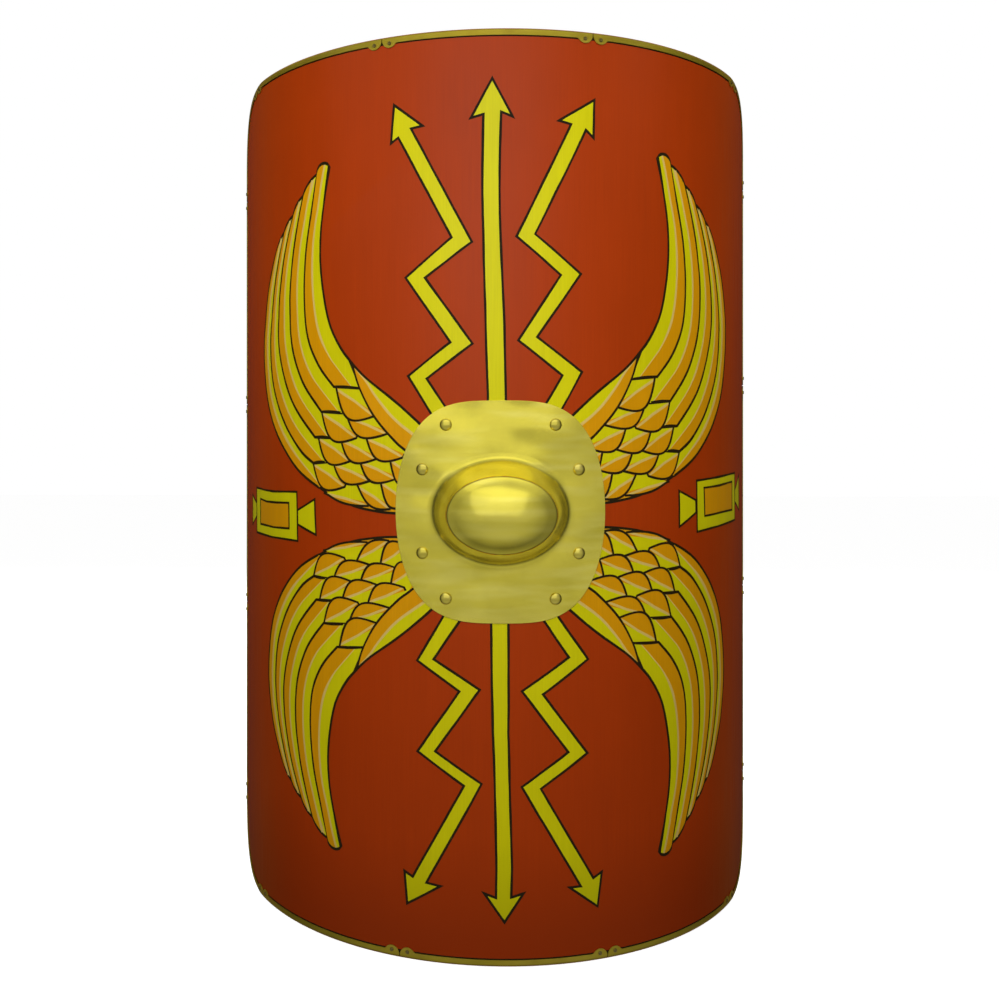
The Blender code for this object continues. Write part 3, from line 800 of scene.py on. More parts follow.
def pale_tip(number, place):
    """Near the tip of a lower feather its quill spreads until it meets the inner edge."""
    inner = []
    for step in range(TIP_STEPS + 1):
        along = TIP_START + (TIP_SHARE - TIP_START) * step / TIP_STEPS
        inner.append(feather_point(number, quill_share(along) * max(0.5, 1 - step / 12), along))
    cap = feather_cap(number, quill_share(1.0) * 0.5, quill_share(1.0) + 0.10, TIP_SHARE)
    fill(CREAM, inner + cap + quill_line(number, TIP_START, TIP_SHARE, TIP_STEPS)[::-1], place)


def line_side(number, side):
    """A feather's inner (0) or outer (1) edge, moved in by half the width of its dark line."""
    points = []
    for step in range(FEATHER_STEPS + 1):
        along = TIP_SHARE * step / FEATHER_STEPS
        width = (feather_point(number, 1.0, along) - feather_point(number, 0.0, along)).length
        points.append(feather_point(number, abs(side - LINE / 2 / width), along))
    return points


def long_feather(number, place):
    """One long feather: its dark edge, its two colours, its quill and the line across its root."""
    root = Vector(ROOTS[number])
    foot = Vector(QUILL_FEET[number])
    whole = [root] + feather_side(number, 0.0) + feather_cap(number, 0.0, 1.0)[1:-1]
    whole += feather_side(number, 1.0)[::-1]
    fill(BLACK, grown(whole, LINE / 2 + 0.45 + 0.10 * number), place)
    width = (edge_lines[number + 1][-1] - edge_lines[number][-1]).length
    thin = LINE / 2 / width
    quill = [foot] + quill_line(number, 0.10, TIP_SHARE, 30)
    cap = feather_cap(number, thin, quill_share(1.0), TIP_SHARE)[1:-1]
    tucked = [root + Vector((-4, 0)), edge_lines[number][0] + Vector((-4, -2))] if number else []
    fill(YELLOW, [root] + tucked + line_side(number, 0)[1:] + cap + quill[::-1], place)
    cap = feather_cap(number, 1 - thin, quill_share(1.0), TIP_SHARE)[1:-1]
    fill(ORANGE, [edge_lines[number + 1][0]] + line_side(number, 1) + cap + quill[::-1] + [root], place)
    brush(CREAM, quill, QUILL_WIDTHS[number], place, 0.35, 1.0)
    if number:
        pale_tip(number, place)
    if number < 4:
        middle = (root + edge_lines[number + 1][0]) / 2 + Vector((0, 0.8))
        brush(BLACK, through([root, middle, edge_lines[number + 1][0]]), LINE, place)


# %% [markdown]
# ## The short feathers
#
# At the root of the wing lie four rows of short feathers, like the scales of a fish. Each is a
# yellow field with an orange belly, a short quill, and a dark line along the belly. A row gives
# the left point and the tip of each, and how deep its belly hangs where that isn't the usual 10.

# %% The short feathers
SCALES = (
    (((141, 108), (193, 140)), ((125, 88), (177, 107)), ((105, 62), (151, 83)), ((90, 35), (121, 59))),
    (((165, 84), (216, 113)), ((140, 60), (187, 82)), ((115, 38), (160, 57)), ((100, 10), (133, 34))),
    (((174, 58), (222, 84)), ((147, 36), (198, 54)), ((122, 5), (163, 29), 4.5)),
    (((182, 29), (231, 54)), ((150, 8), (212, 21), 1.5)),
)


TUCKED_IN = Vector((-2.0, 4.0))
FIELD_RISE = Vector((-1.5, 12.0))
QUILL_BEND = Vector((-0.8, 1.2))
BELLY_FORWARD = 0.68
TIP_BACK = 0.17
TIP_DROP = 0.115
LINE_PAST_TIP = 2.5


def scale(left, tip, above, place, depth=10.0):
    """One short feather, from its left point to its tip, under whatever lies above it."""
    left = Vector(left)
    tip = Vector(tip)
    above = Vector(above)
    way = tip - left
    first = left + Vector((BELLY_FORWARD * way.x, -depth))
    second = tip - Vector((TIP_BACK * way.x, TIP_DROP * depth * way.y))
    belly = [left + TUCKED_IN] + interpolate_bezier(left, first, second, tip, 14)
    fill(YELLOW, [left, tip, above, above + FIELD_RISE, left + FIELD_RISE], place)
    fill(ORANGE, belly, place)
    quill = evenly([left, left.lerp(tip, 0.5) + QUILL_BEND, tip], 8)
    brush(CREAM, quill, 2.9, place, 0.4, 0.6)
    brush(BLACK, belly + [tip + (tip - second).normalized() * LINE_PAST_TIP], LINE, place)


def scale_row(number, place):
    row = SCALES[number]
    for index in range(len(row) - 1, -1, -1):
        above = row[index - 1][0] if index else ROOTS[number]
        scale(row[index][0], row[index][1], above, place, *row[index][2:])


# %% [markdown]
# ## The whole wing
#
# A long covert covers the roots from above. The other three wings are the first one turned over,
# each with small errors of its own, because the painter drew them by eye. A wing stands a little
# too far out and up or down, loses some of that towards its tip, and may be narrower in its outer
# part. The upper left one also bulges below its tip.

# %% The covert and the whole wing
COVERT_TOP = ((170, 168), (150, 150), (120, 128), (100, 112), (80, 94), (66, 80))
COVERT_FOOT = ((160, 140), (141, 108), (115, 80), (100, 68), (84, 55))
COVERT_QUILL = ((168, 165), (152, 148.5), (140, 132), (123, 112), (110, 100), (98, 91), (80, 78))
WING_FOOT = ((222, 28), (205, 20), (190, 15), (170, 8), (150, 4), (125, 1), (95, 0))
WING_TIP_V = 400
OUTER_PART_U = 230
BULGE_V, BULGE_REACH = 150, 80
BULGE_FROM, BULGE_EASE = 225, 70


def covert(place):
    top = through(COVERT_TOP)
    foot = through(((170, 168),) + COVERT_FOOT)
    quill = through(COVERT_QUILL)
    fill(YELLOW, top + quill[::-1], place)
    fill(ORANGE, quill + foot[::-1], place)
    brush(CREAM, quill, 3.0, place, 0.3, 1.0)
    brush(BLACK, top, LINE, place)
    brush(BLACK, foot, LINE, place)


def turned_wing(side, end, out, out_lost, up, up_lost, narrowing=0.0, bulge=0.0):
    """How a point of the first wing is carried to another wing."""
    def place(u, v):
        swelling = bulge * max(0, 1 - ((v - BULGE_V) / BULGE_REACH) ** 2)
        swelling *= min(1, max(0, (u - BULGE_FROM) / BULGE_EASE))
        across = u + out - out_lost * v / WING_TIP_V - narrowing * max(0, u - OUTER_PART_U) + swelling
        return side * across, end * (v + up - up_lost * v / WING_TIP_V)

    return place


def paint_wing(place):
    """From the lowest feather up, each row of scales just before the long feather over it."""
    silhouette = through(COVERT_TOP)[::-1] + edge_lines[0][1:]
    for number in range(len(ROOTS)):
        silhouette += feather_cap(number, 0.0, 1.0)[1:]
    silhouette += edge_lines[5][::-1][1:] + through(WING_FOOT)[1:]
    fill(BLACK, grown(silhouette, LINE / 2 + 0.3), place)
    fill(ORANGE, grown(silhouette, -LINE / 2), place)
    long_feather(4, place)
    for number in (3, 2, 1, 0):
        scale_row(number, place)
        long_feather(number, place)
    covert(place)


WING_PLACES = (
    as_drawn,
    turned_wing(side=-1, end=1, out=2.5, out_lost=2, up=-8, up_lost=-9, bulge=4),
    turned_wing(side=1, end=-1, out=1, out_lost=11, up=26, up_lost=16, narrowing=0.075),
    turned_wing(side=-1, end=-1, out=5, out_lost=10, up=34, up_lost=34, narrowing=0.04),
)
for place in WING_PLACES:
    paint_wing(place)
print("Shapes after the wings:", len(picture))

# %% [markdown]
# ## The framed boxes
#
# Each side carries an oblong yellow frame round an orange panel, with a small fan at either end.

# %% The boxes
def box(side, frame_corners, panel_corners, fans):
    """A frame, its panel and its two fans, mirrored for the left side."""
    def mirrored(u, v):
        return side * u, v

    for fan in fans:
        bordered(YELLOW, by_hand(fan, 7.0), mirrored)
    bordered(YELLOW, by_hand(frame_corners, 8.0), mirrored)
    bordered(ORANGE, by_hand(panel_corners, 8.0), mirrored)


box(
    1,
    ((264, 20), (320, 22), (376, 24), (376, -36), (320, -38), (264, -41)),
    ((279.5, 10.5), (320, 11.5), (363, 13.5), (363, -22), (320, -22), (281, -23.5)),
    (((230.5, 9.5), (262, -3), (262, -18), (230.5, -32.5)), ((376, 2), (401, 20), (401, -26), (376, -13))),
)
box(
    -1,
    ((265, 14), (320, 13), (345, 13.5), (378, 16), (378, -42), (320, -44), (264, -45)),
    ((282, 0), (340, -0.5), (362, 2), (362, -30), (320, -31.5), (282, -31)),
    (((232, 6), (264, -8), (264, -25), (230.5, -36)), ((376, -5), (400, 6), (400, -33), (376, -20))),
)
print("Shapes after the boxes:", len(picture))

# %% [markdown]
# ## The border line
#
# A thin dark line runs round the whole face just inside the brass. It is laid as a dark ring: a
# dark oblong under everything, and a red one a little smaller on top of it.

# %% The border line
BORDER_OUTER = 0.0020
BORDER_INNER = 0.0098
RULE_STEP = 0.006
picture[:0] = [(BLACK, rim_loop(BORDER_OUTER, RULE_STEP)), (RED, rim_loop(BORDER_INNER, RULE_STEP))]
print("Shapes in the whole picture:", len(picture))

# %% [markdown]
# ## The board
#
# The board is two flat drawings, the painted face and the plain back, joined round the rim and
# round the hand hole. A drawing is laid out with a triangulation that keeps every drawn line as an
# edge, and lines ruled up it every six millimetres let it bend smoothly.

# %% Lay out a drawing
BOSS_S = 0.003
BOSS_Z = 0.504
HOLE_HALF_WIDTH = 0.0680
HOLE_HALF_HEIGHT = 0.0535
HOLE_POINTS = 96
HOLE_ZONE = 0.1
BOARD_INSET = SHEET + CLEARANCE
RIM_STEP = 0.004
MERGE_DISTANCE = 1e-6


def oval(half_width, half_height, count):
    """A loop of points round the boss's middle."""
    points = []
    for index in range(count):
        angle = 2 * math.pi * (index + 0.5) / count
        points.append((BOSS_S + half_width * math.cos(angle), BOSS_Z + half_height * math.sin(angle)))
    return points


def ruled_lines():
    """Ends of the upright lines along which the board bends."""
    reach = int((HALF_ARC - BOARD_INSET) / RULE_STEP)
    for index in range(-reach, reach + 1):
        yield (index * RULE_STEP, -0.01), (index * RULE_STEP, HEIGHT + 0.01)


def within(places, outline):
    """Which places lie inside a loop, by how often it winds round them."""
    ring = np.array(outline)
    near = np.all((places >= ring.min(axis=0)) & (places <= ring.max(axis=0)), axis=1)
    s, z = places[near].T
    turns = np.zeros(len(s), int)
    for a, b in zip(ring, np.roll(ring, -1, axis=0)):
        side = (b[0] - a[0]) * (z - a[1]) - (s - a[0]) * (b[1] - a[1])
        turns += (a[1] <= z) & (b[1] > z) & (side > 0)
        turns -= (a[1] > z) & (b[1] <= z) & (side < 0)
    inside = np.zeros(len(places), bool)
    inside[near] = turns != 0
    return inside


def lay_out(shapes):
    """Flat points and triangles of the board, each with the number of the topmost shape on it."""
    hole = oval(HOLE_HALF_WIDTH, HOLE_HALF_HEIGHT, HOLE_POINTS)
    loops = [rim_loop(BOARD_INSET, RIM_STEP)] + shapes
    points = []
    lines = []
    for outline in loops + [hole]:
        first = len(points)
        count = len(outline)
        points += [Vector(point) for point in outline]
        lines += [(first + index, first + (index + 1) % count) for index in range(count)]
    for ends in ruled_lines():
        lines.append((len(points), len(points) + 1))
        points += [Vector(point) for point in ends]
    found = delaunay_2d_cdt(points, lines, [], 0, MERGE_DISTANCE, False)
    flat = np.array([point[:] for point in found[0]])
    faces = np.array(found[2])
    middles = flat[faces].mean(axis=1)
    owner = np.full(len(faces), -1)
    on_board = within(middles, loops[0]) & ~within(middles, hole)
    for number, outline in enumerate(loops):
        owner[within(middles, outline)] = number
    return flat, faces[on_board].tolist(), owner[on_board].tolist()


print("Lines ruled up the board:", len(list(ruled_lines())))

# %% [markdown]
# ## From drawing to board
#
# Both drawings are bent to the curve, and every triangle takes the paint of the shape that lies
# topmost there. Two bands of faces then close the board round its rim and round the hole.

# %% Build the board
def board_skin(bm, shapes, depth, facing):
    """One face of the board, bent to the curve. Returns each face with its shape's number."""
    flat, faces, owners = lay_out(shapes)
    used = sorted({index for face in faces for index in face})
    verts = {index: bm.verts.new(curved(flat[index][0], flat[index][1], depth)) for index in used}
    skin = []
    for face, owner in zip(faces, owners):
        made = bm.faces.new([verts[index] for index in (face if facing > 0 else face[::-1])])
        skin.append((made, owner))
    return skin


board_bm = bmesh.new()
front_skin = board_skin(board_bm, [outline for paint, outline in picture], 0.0, 1)
back_skin = board_skin(board_bm, [], BOARD_THICKNESS, -1)
for made, owner in front_skin:
    made.material_index = picture[owner - 1][0] if owner else RED
BACK = len(PAINTS)
EDGE = len(PAINTS) + 1
for made, owner in back_skin:
    made.material_index = BACK


def near_hole(edge):
    middle = (edge.verts[0].co + edge.verts[1].co) / 2
    return abs(middle.z - BOSS_Z) < HOLE_ZONE and abs(middle.x - BOSS_S) < HOLE_ZONE


open_edges = [edge for edge in board_bm.edges if edge.is_boundary]
hole_edges = [edge for edge in open_edges if near_hole(edge)]
rim_edges = [edge for edge in open_edges if not near_hole(edge)]
walls = bmesh.ops.bridge_loops(board_bm, edges=rim_edges)["faces"]
walls += bmesh.ops.bridge_loops(board_bm, edges=hole_edges)["faces"]
wall_set = set(walls)
for wall in walls:
    wall.material_index = EDGE
smooth(board_bm)
for wall in walls:
    for edge in wall.edges:
        if any(face not in wall_set for face in edge.link_faces):
            edge.smooth = False
print("Board:", len(board_bm.faces), "faces,", len(walls), "of them in its edges")
print("Open edges left:", sum(edge.is_boundary for edge in board_bm.edges))

# %% [markdown]
# ## Two maps for the board
#
# The map called Face holds s and z, which the brushed paint reads. The map called OFBake gives
# every paint its own rectangle, so no colour can bleed into the next one. The cut edges lie in two
# thin bands above the cream, one for the rim and one for the hole.

# %% Map the board
TILES = {
    RED: (0.01, 0.01, 0.60, 0.66), YELLOW: (0.63, 0.01, 0.35, 0.30), ORANGE: (0.63, 0.33, 0.35, 0.30),
    CREAM: (0.01, 0.69, 0.26, 0.26), BLACK: (0.29, 0.69, 0.32, 0.30), BACK: (0.63, 0.65, 0.35, 0.34),
}
BAND_LEFT, BAND_LENGTH, BAND_HEIGHT = 0.01, 0.26, 0.010
RIM_BAND, HOLE_BAND = 0.985, 0.970
face_map = board_bm.loops.layers.uv.new("Face")
tile_map = board_bm.loops.layers.uv.new("OFBake")


def on_sheet(place):
    """The s and z of a point of the bent board."""
    angle = math.atan2(place.x, CYLINDER_AXIS_Y - place.y)
    return angle * FACE_RADIUS, place.z


def tile_place(face, place, s, z):
    """A corner's place on the OFBake map."""
    if face in wall_set:
        depth = FACE_RADIUS - (place.xy - Vector((0.0, CYLINDER_AXIS_Y))).length
        around = math.atan2(z - BOSS_Z, s - BOSS_S) / (2 * math.pi) % 1.0
        band = RIM_BAND if abs(s) > HOLE_ZONE or abs(z - BOSS_Z) > HOLE_ZONE else HOLE_BAND
        return BAND_LEFT + BAND_LENGTH * around, band + BAND_HEIGHT * depth / BOARD_THICKNESS
    left, low, width, height = TILES[face.material_index]
    return left + width * (s / (2 * HALF_ARC) + 0.5), low + height * z / HEIGHT


for face in board_bm.faces:
    for loop in face.loops:
        s, z = on_sheet(loop.vert.co)
        loop[face_map].uv = (s, z)
        loop[tile_map].uv = tile_place(face, loop.vert.co, s, z)
print("Maps:", face_map.name, tile_map.name)

# %% [markdown]
# ## Shading the curve
#
# The board is made of flat strips, but its paint should shine like a true cylinder. So the two
# faces are given the cylinder's own normals, and the cut edges keep normals of their own.

# %% Fix the shading
board_bm.faces.index_update()
wall_numbers = {wall.index for wall in walls}
board_finishes = PAINTS + [varnished_ply, ply_layers]
board = finish_piece("painted_board", board_bm, board_finishes, ["shield_board"])
shading = []
for polygon in board.data.polygons:
    facing = -1.0 if polygon.material_index == BACK else 1.0
    for number in polygon.vertices:
        s, z = on_sheet(board.data.vertices[number].co)
        shading.append((0.0, 0.0, 0.0) if polygon.index in wall_numbers else tuple(outward(s) * facing))
board.data.normals_split_custom_set(shading)
print("Board shaded as a true cylinder:", len(shading), "corners")

# %% [markdown]
# ## The brass edging
#
# The rim is bound with sixteen lengths of thin brass, each folded over the board like a channel.
# Each end swells into a rounded lobe on the front, where a nail holds it. A grid is the natural
# start: its columns run along the rim and its rows run across the sheet, from the front lip, over
# the fold, to the back lip. A Solidify modifier then gives the sheet its thickness.

# %% Where the edging is cut
TOP_JOINTS = (-0.374, -0.134, 0.108, 0.366)
RIGHT_JOINTS = (0.916, 0.654, 0.386, 0.137)
BOTTOM_JOINTS = (0.349, 0.126, -0.112, -0.351)
LEFT_JOINTS = (0.104, 0.361, 0.629, 0.905)
EDGING_NAMES = (
    "edging_top_left", "edging_top_middle", "edging_top_right", "edging_corner_top_right",
    "edging_right_upper", "edging_right_middle", "edging_right_lower", "edging_corner_bottom_right",
    "edging_bottom_right", "edging_bottom_middle", "edging_bottom_left", "edging_corner_bottom_left",
    "edging_left_lower", "edging_left_middle", "edging_left_upper", "edging_corner_top_left",
)
JOINT_GAP = 0.0010
LOBE_RADIUS = 0.0090
LOBE_REACH = 0.0135
FRONT_LIP = 0.0085
BACK_LIP = 0.0060
NAIL_INSET = 0.0085

# Each joint's distance along the rim. The tables give s on the top and bottom, z on the sides.
joints = list(TOP_JOINTS)
joints += [HALF_TOP + QUARTER + SIDE_TOP - z for z in RIGHT_JOINTS]
joints += [PERIMETER / 2 - s for s in BOTTOM_JOINTS]
joints += [PERIMETER / 2 + HALF_TOP + QUARTER + z - CORNER_RADIUS for z in LEFT_JOINTS]
print("Joints in the edging:", len(joints))

# %% [markdown]
# ## Folding a strip
#
# Each column of the grid is one section of the folded sheet. The front lip reaches further in
# where a lobe swells, so its columns stand close together there, and a small curve eases the
# inner corner where the lobe meets the straight lip.

# %% Fold a strip of edging
FOLD_IN = 0.0045
LIP_ROWS = 7
FOLD_ROWS = 12
BACK_ROWS = 2
EDGE_STEP = 0.0045
LOBE_STEPS = 14
LOBE_ZONE = LOBE_RADIUS * 1.15
LOBE_EASE = 0.0012


def strip_stations(start, end):
    """Distances along a strip: close together in the lobes, even between them."""
    turns = [math.pi * index / LOBE_STEPS for index in range(LOBE_STEPS + 1)]
    lobe = [LOBE_ZONE * (1 - math.cos(turn)) for turn in turns]
    first = [start + step for step in lobe]
    last = [end - step for step in lobe]
    span = last[-1] - first[-1]
    count = max(2, round(span / EDGE_STEP))
    middle = [first[-1] + span * index / count for index in range(1, count)]
    return first + middle + last[::-1]


def lip_reach(from_end):
    """How far the front lip comes in from the rim, at a distance from the nearest end."""
    across = from_end - LOBE_RADIUS
    lobe = 0.0
    if abs(across) < LOBE_RADIUS:
        lobe = LOBE_REACH - LOBE_RADIUS + math.sqrt(LOBE_RADIUS ** 2 - across ** 2)
    nearness = max(0.0, LOBE_EASE - abs(lobe - FRONT_LIP)) / LOBE_EASE
    if across > 0:
        return max(lobe, FRONT_LIP) + nearness * nearness * LOBE_EASE / 4
    return max(lobe, FOLD_IN + LOBE_EASE)


def sheet_place(row, reach):
    """Inset and depth of a row of the grid, from the front lip over the fold to the back lip."""
    half = BOARD_THICKNESS / 2 + CLEARANCE + SHEET
    if row <= LIP_ROWS:
        return reach + (FOLD_IN - reach) * row / LIP_ROWS, BOARD_THICKNESS / 2 - half
    if row <= LIP_ROWS + FOLD_ROWS:
        angle = math.pi * (row - LIP_ROWS) / FOLD_ROWS
        return FOLD_IN * (1 - math.sin(angle)), BOARD_THICKNESS / 2 - half * math.cos(angle)
    share = (row - LIP_ROWS - FOLD_ROWS) / BACK_ROWS
    return FOLD_IN + (BACK_LIP - FOLD_IN) * share, BOARD_THICKNESS / 2 + half


def fold_strip(start, end):
    """One length of edging between two joints."""
    stations = strip_stations(start + JOINT_GAP / 2, end - JOINT_GAP / 2)
    rows = LIP_ROWS + FOLD_ROWS + BACK_ROWS
    bm = bmesh.new()
    bmesh.ops.create_grid(bm, x_segments=len(stations) - 1, y_segments=rows, size=0.5)
    bm.verts.ensure_lookup_table()
    for vert in bm.verts:
        column = round((vert.co.x + 0.5) * (len(stations) - 1))
        row = round((vert.co.y + 0.5) * rows)
        along = stations[column]
        from_end = min(along - stations[0], stations[-1] - along)
        inset, depth = sheet_place(row, lip_reach(from_end))
        vert.co = curved(*rim_point(along, inset), depth)
    smooth(bm)
    return bm


def outwards(bm):
    """Turns a sheet so that its front lip looks the way the painted face does."""
    bm.normal_update()
    score = 0.0
    for face in bm.faces:
        middle = face.calc_center_median()
        radial = Vector((middle.x, middle.y - CYLINDER_AXIS_Y, 0.0))
        if radial.length > FACE_RADIUS:
            score += face.normal.dot(radial)
    if score < 0:
        bmesh.ops.reverse_faces(bm, faces=bm.faces)


def add_thickness(piece, thickness, bevel):
    solid = piece.modifiers.new("sheet", "SOLIDIFY")
    solid.thickness = thickness
    solid.offset = -1.0
    solid.use_even_offset = True
    edge = piece.modifiers.new("soft_edge", "BEVEL")
    edge.width = bevel
    edge.segments = 2
    edge.limit_method = "ANGLE"
    edge.angle_limit = math.radians(60)
    edge.harden_normals = True


for index, name in enumerate(EDGING_NAMES):
    start = joints[index]
    end = joints[(index + 1) % len(joints)]
    end = end + PERIMETER if end < start else end
    strip_bm = fold_strip(start, end)
    outwards(strip_bm)
    strip = finish_piece(name + "_brass", strip_bm, [edging_brass], [name])
    add_thickness(strip, SHEET, 0.0002)
print("Edging strips:", len(EDGING_NAMES))

# %% [markdown]
# ## Nails and rivets
#
# Both are turned shapes, so each is a profile spun round its axis, and then carried to its place
# and turned to face straight out of the board.

# %% Spin and place a fastener
def spun(profile, steps):
    """A closed turned shape from (radius, height) points that start and end on the axis."""
    bm = bmesh.new()
    verts = [bm.verts.new((radius, 0.0, height)) for radius, height in profile]
    edges = [bm.edges.new(pair) for pair in zip(verts, verts[1:])]
    bmesh.ops.spin(
        bm, geom=verts + edges, cent=(0, 0, 0), axis=(0, 0, 1), angle=2 * math.pi,
        steps=steps, use_merge=True,
    )
    bmesh.ops.remove_doubles(bm, verts=bm.verts, dist=0.00001)
    bmesh.ops.recalc_face_normals(bm, faces=bm.faces)
    smooth(bm)
    return bm


def stand_on(bm, s, z, depth):
    """Moves a turned shape so that its base lies at a depth and it faces out of the board."""
    angle = s / FACE_RADIUS
    turned = Matrix((
        (math.cos(angle), 0.0, math.sin(angle)),
        (math.sin(angle), 0.0, -math.cos(angle)),
        (0.0, 1.0, 0.0),
    ))
    bmesh.ops.transform(bm, verts=bm.verts, matrix=turned.to_4x4())
    bmesh.ops.translate(bm, verts=bm.verts, vec=curved(s, z, depth))


NAIL_PROFILE = (
    (0.0, 0.00055), (0.0007, 0.00062), (0.0012, 0.0009), (0.0017, 0.0010), (0.0021, 0.0007),
    (0.0023, 0.0), (0.0010, 0.0), (0.0010, -0.0084), (0.0008, -0.0089), (0.0, -0.0089),
)
nail_number = 0
for joint in joints:
    for side in (-1, 1):
        nail_number += 1
        s, z = rim_point(joint + side * (JOINT_GAP / 2 + LOBE_RADIUS), NAIL_INSET)
        nail_bm = spun(NAIL_PROFILE, 16)
        stand_on(nail_bm, s, z, -(CLEARANCE + SHEET))
        node = "edging_nail_%02d" % nail_number
        finish_piece(node + "_head", nail_bm, [nail_brass], [node])
print("Nails:", nail_number)

# %% [markdown]
# ## Rivets
#
# Eight rivets hold the boss, four to a side. A rivet's head is part of a flattened ball, its shank
# runs through the board, and its end is hammered flat behind.

# %% Rivets
RIVET_PLACES = ((0.0610, 0.0965), (0.0880, 0.0467))
BOSS_SHEET = 0.0012
HEAD_RADIUS = 0.0070
HEAD_RISE = 0.0036
RIVET_PROFILE = [(0.0, HEAD_RISE)]
for degrees in range(12, 91, 13):
    turn = math.radians(degrees)
    RIVET_PROFILE.append((HEAD_RADIUS * math.sin(turn), HEAD_RISE * math.cos(turn)))
RIVET_PROFILE += [
    (HEAD_RADIUS, 0.0), (0.0020, 0.0), (0.0020, -0.0086), (0.0038, -0.0086), (0.0036, -0.0092),
    (0.0025, -0.0095), (0.0, -0.0096),
]
rivet_number = 0
for side in (-1, 1):
    for end in (1, -1):
        for across, up in RIVET_PLACES:
            rivet_number += 1
            rivet_bm = spun(RIVET_PROFILE, 32)
            stand_on(rivet_bm, BOSS_S + side * across, BOSS_Z + end * up, -(CLEARANCE + BOSS_SHEET))
            node = "boss_rivet_%d" % rivet_number
            finish_piece(node + "_head", rivet_bm, [rivet_brass], [node])
print("Rivets:", rivet_number)

# %% [markdown]
# ## The boss
#
# The boss is one sheet of brass, beaten out into a dome from the middle and cut to a barrel shape.
# It starts as a small circle at the crown, and ring after ring is extruded outwards from it: over
# the shallow cap, round the shoulder, down the steep wall, and out across the plate.

# %% Boss rings
BOSS_HALF_WIDTH = 0.1198
BOSS_HALF_HEIGHT = 0.1234
SIDE_POWER = 3.4
END_POWER = 2.02
DOME_HALF_WIDTH = 0.0788
DOME_HALF_HEIGHT = 0.0612
DOME_WALL = (
    (0.0210, 0.0495), (0.0199, 0.0487), (0.0190, 0.0472), (0.0182, 0.0448), (0.0168, 0.0400),
    (0.0150, 0.0338), (0.0130, 0.0270), (0.0110, 0.0202), (0.0090, 0.0136), (0.0072, 0.0083),
    (0.0055, 0.0048), (0.0034, 0.0022), (0.0010, 0.0007), (-0.0015, 0.0002), (-0.0040, 0.0),
)
CAP_INSET = 0.0225
CAP_FOOT = 0.0502
CAP_POWER = 2.4
CAP_SHARES = (0.12, 0.26, 0.42, 0.58, 0.74, 0.88, 1.0)
PLATE_SHARES = (0.06, 0.14, 0.25, 0.4, 0.55, 0.7, 0.85, 0.96, 1.0)
DOME_HEIGHT = 0.0659
BOSS_SIDES = 128


def signed_power(value, power):
    return math.copysign(abs(value) ** power, value)


def dome_place(angle, inset, share=1.0):
    """A point of the dome's oval, inset from its foot. The foot spreads further to the sides."""
    above = inset if inset > 0 else inset * 0.25
    return (
        (DOME_HALF_WIDTH - inset) * share * math.cos(angle),
        (DOME_HALF_HEIGHT - above) * share * math.sin(angle),
    )


def cap_place(angle, share):
    return dome_place(angle, CAP_INSET, share)


def plate_place(angle, share):
    """A point of the plate, from the dome's foot at 0 to the barrel outline at 1."""
    foot = dome_place(angle, DOME_WALL[-1][0])
    spread = math.atan2(foot[1] / DOME_HALF_HEIGHT, foot[0] / DOME_HALF_WIDTH)
    edge_s = BOSS_HALF_WIDTH * signed_power(math.cos(spread), 2 / SIDE_POWER)
    edge_z = BOSS_HALF_HEIGHT * signed_power(math.sin(spread), 2 / END_POWER)
    return foot[0] + (edge_s - foot[0]) * share, foot[1] + (edge_z - foot[1]) * share


def boss_rings():
    """From the crown outwards, each ring as a function of angle, its second value and a height."""
    rise = DOME_HEIGHT - CAP_FOOT
    rings = [(cap_place, share, CAP_FOOT + rise * (1 - share ** CAP_POWER)) for share in CAP_SHARES]
    rings += [(dome_place, inset, height) for inset, height in DOME_WALL]
    rings += [(plate_place, share, 0.0) for share in PLATE_SHARES]
    return rings


print("Boss rings:", len(boss_rings()))

# %% [markdown]
# ## Raising the boss
#
# Extrude Edge Only adds a ring of faces outside the last one. The new vertices lie where the old
# ones are, so each takes the angle of its neighbour and is then carried to its own place.

# %% Raise the boss
def next_ring(bm, edges, angle_of):
    """Extrudes a ring of edges. Returns the new ring, and its vertices with their angles."""
    made = bmesh.ops.extrude_edge_only(bm, edges=edges)["geom"]
    fresh = {}
    for vert in [item for item in made if isinstance(item, bmesh.types.BMVert)]:
        for edge in vert.link_edges:
            if edge.other_vert(vert) in angle_of:
                fresh[vert] = angle_of[edge.other_vert(vert)]
    new_edges = [item for item in made if isinstance(item, bmesh.types.BMEdge)]
    return [edge for edge in new_edges if edge.verts[0] in fresh and edge.verts[1] in fresh], fresh


def press(s, z, height):
    """A boss point: the sheet follows the curve, and what stands off it stands straight forward."""
    point = curved(BOSS_S + s, BOSS_Z + z, -(CLEARANCE + BOSS_SHEET))
    point.y -= height
    return point


boss_bm = bmesh.new()
bmesh.ops.create_circle(boss_bm, cap_ends=True, cap_tris=True, segments=BOSS_SIDES, radius=0.01)
ring = [edge for edge in boss_bm.edges if edge.is_boundary]
angle_of = {}
for vert in boss_bm.verts:
    if vert.is_boundary:
        angle_of[vert] = math.atan2(vert.co.y, vert.co.x)
    else:
        vert.co = press(0.0, 0.0, DOME_HEIGHT)
for number, (ring_place, second_value, height) in enumerate(boss_rings()):
    if number:
        ring, angle_of = next_ring(boss_bm, ring, angle_of)
    for vert, angle in angle_of.items():
        vert.co = press(*ring_place(angle, second_value), height)
boss_bm.normal_update()
foremost = min(boss_bm.faces, key=lambda face: face.calc_center_median().y)
if foremost.normal.y > 0:
    bmesh.ops.reverse_faces(boss_bm, faces=boss_bm.faces)
smooth(boss_bm)
print("Boss:", len(boss_bm.faces), "faces")
boss = finish_piece("brass_boss", boss_bm, [boss_brass], ["boss"])
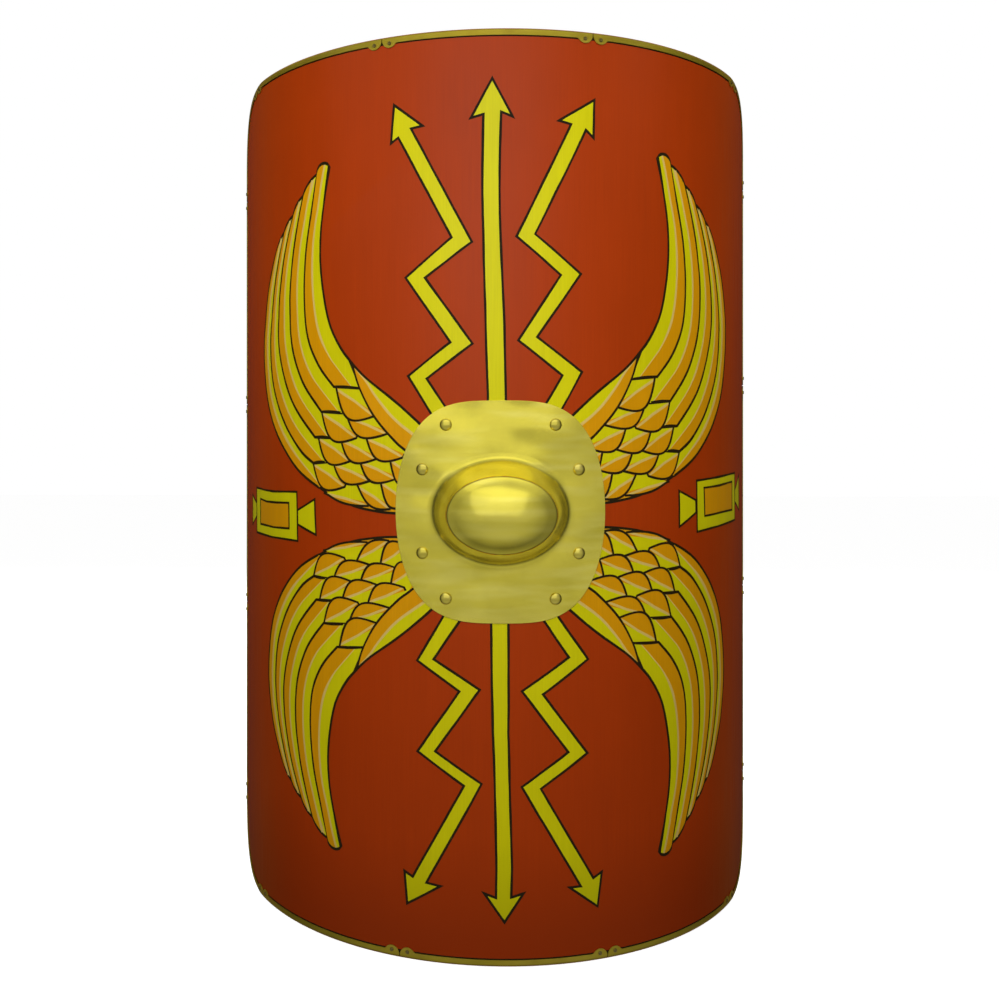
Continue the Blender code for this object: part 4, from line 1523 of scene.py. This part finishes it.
add_thickness(boss, BOSS_SHEET, 0.0003)

# %% [markdown]
# ## The hand grip
#
# Behind the boss a wooden bar crosses the hand hole. It is a row of rounded sections, extruded from
# one end to the other, thick in the middle for the fist and thinning to pads that sit on the board.

# %% Grip sections
GRIP_HALF_LENGTH = 0.1050
GRIP_PAD_INNER = 0.0763
GRIP_HEIGHT = 0.0300
GRIP_END_THICKNESS = 0.0140
GRIP_WAIST_FRONT = 0.0200
GRIP_WAIST_BACK = 0.0420
GRIP_FLAT_SHARE = 0.45
GRIP_NARROWING = 0.0012
PAD_SLOPE = 0.006
HALF_SHARES = (1.0, 0.985, 0.95, 0.9, 0.85, 0.8, 0.76, 0.735, 0.71, 0.69, 0.67, 0.6, 0.5, 0.4, 0.3, 0.15)


def grip_section(share):
    """For a share of the half length: x, the front and the back of the bar, and its half height."""
    seat = BOARD_THICKNESS + CLEARANCE
    end = curved(GRIP_HALF_LENGTH, 0.0, seat)
    inner = curved(GRIP_PAD_INNER, 0.0, seat)
    x = end.x * share
    swell = max(0.0, abs(share) - GRIP_FLAT_SHARE) / (1 - GRIP_FLAT_SHARE)
    end_back = end.y + GRIP_END_THICKNESS
    back = end_back + (GRIP_WAIST_BACK - MIDDLE_Y - end_back) * (0.5 + 0.5 * math.cos(math.pi * swell))
    if abs(x) > inner.x:
        reach = math.asin(abs(x) / (FACE_RADIUS - seat)) * FACE_RADIUS
        front = curved(reach, 0.0, seat).y
    else:
        rise = min(1.0, (inner.x - abs(x)) / PAD_SLOPE)
        front = inner.y + (GRIP_WAIST_FRONT - MIDDLE_Y - inner.y) * rise
    return x, front, back, GRIP_HEIGHT / 2 - GRIP_NARROWING * (1 - swell) ** 2


print("Grip's half height in the middle:", round(grip_section(0.0)[3], 4), "m")

# %% [markdown]
# ## Carving the grip
#
# The bar grows from one end in the same way as the boss, ring by ring. A section is a circle whose
# sine and cosine are raised to a power below one, which squares it. The end faces are a little
# smaller, so that the bar's ends look rounded over.

# %% Carve the grip
GRIP_SIDES = 32
SQUARENESS = 0.55
END_SHRINK = 0.80
grip_shares = [-share for share in HALF_SHARES] + [0.0] + list(HALF_SHARES[::-1])
grip_bm = bmesh.new()
bmesh.ops.create_circle(grip_bm, cap_ends=True, segments=GRIP_SIDES, radius=1.0)
ring = list(grip_bm.edges)
angle_of = {vert: math.atan2(vert.co.y, vert.co.x) for vert in grip_bm.verts}
for number, share in enumerate(grip_shares):
    if number:
        ring, angle_of = next_ring(grip_bm, ring, angle_of)
    x, front, back, half = grip_section(share)
    size = END_SHRINK if abs(share) == 1.0 else 1.0
    for vert, angle in angle_of.items():
        across = signed_power(math.cos(angle), SQUARENESS) * size
        up = signed_power(math.sin(angle), SQUARENESS) * size
        vert.co = (BOSS_S + x, (front + back) / 2 + (back - front) / 2 * across, BOSS_Z + half * up)
bmesh.ops.contextual_create(grip_bm, geom=ring)
bmesh.ops.recalc_face_normals(grip_bm, faces=grip_bm.faces)
smooth(grip_bm)
print("Grip:", len(grip_bm.faces), "faces")
finish_piece("wooden_grip", grip_bm, [grip_ash], ["hand_grip"])
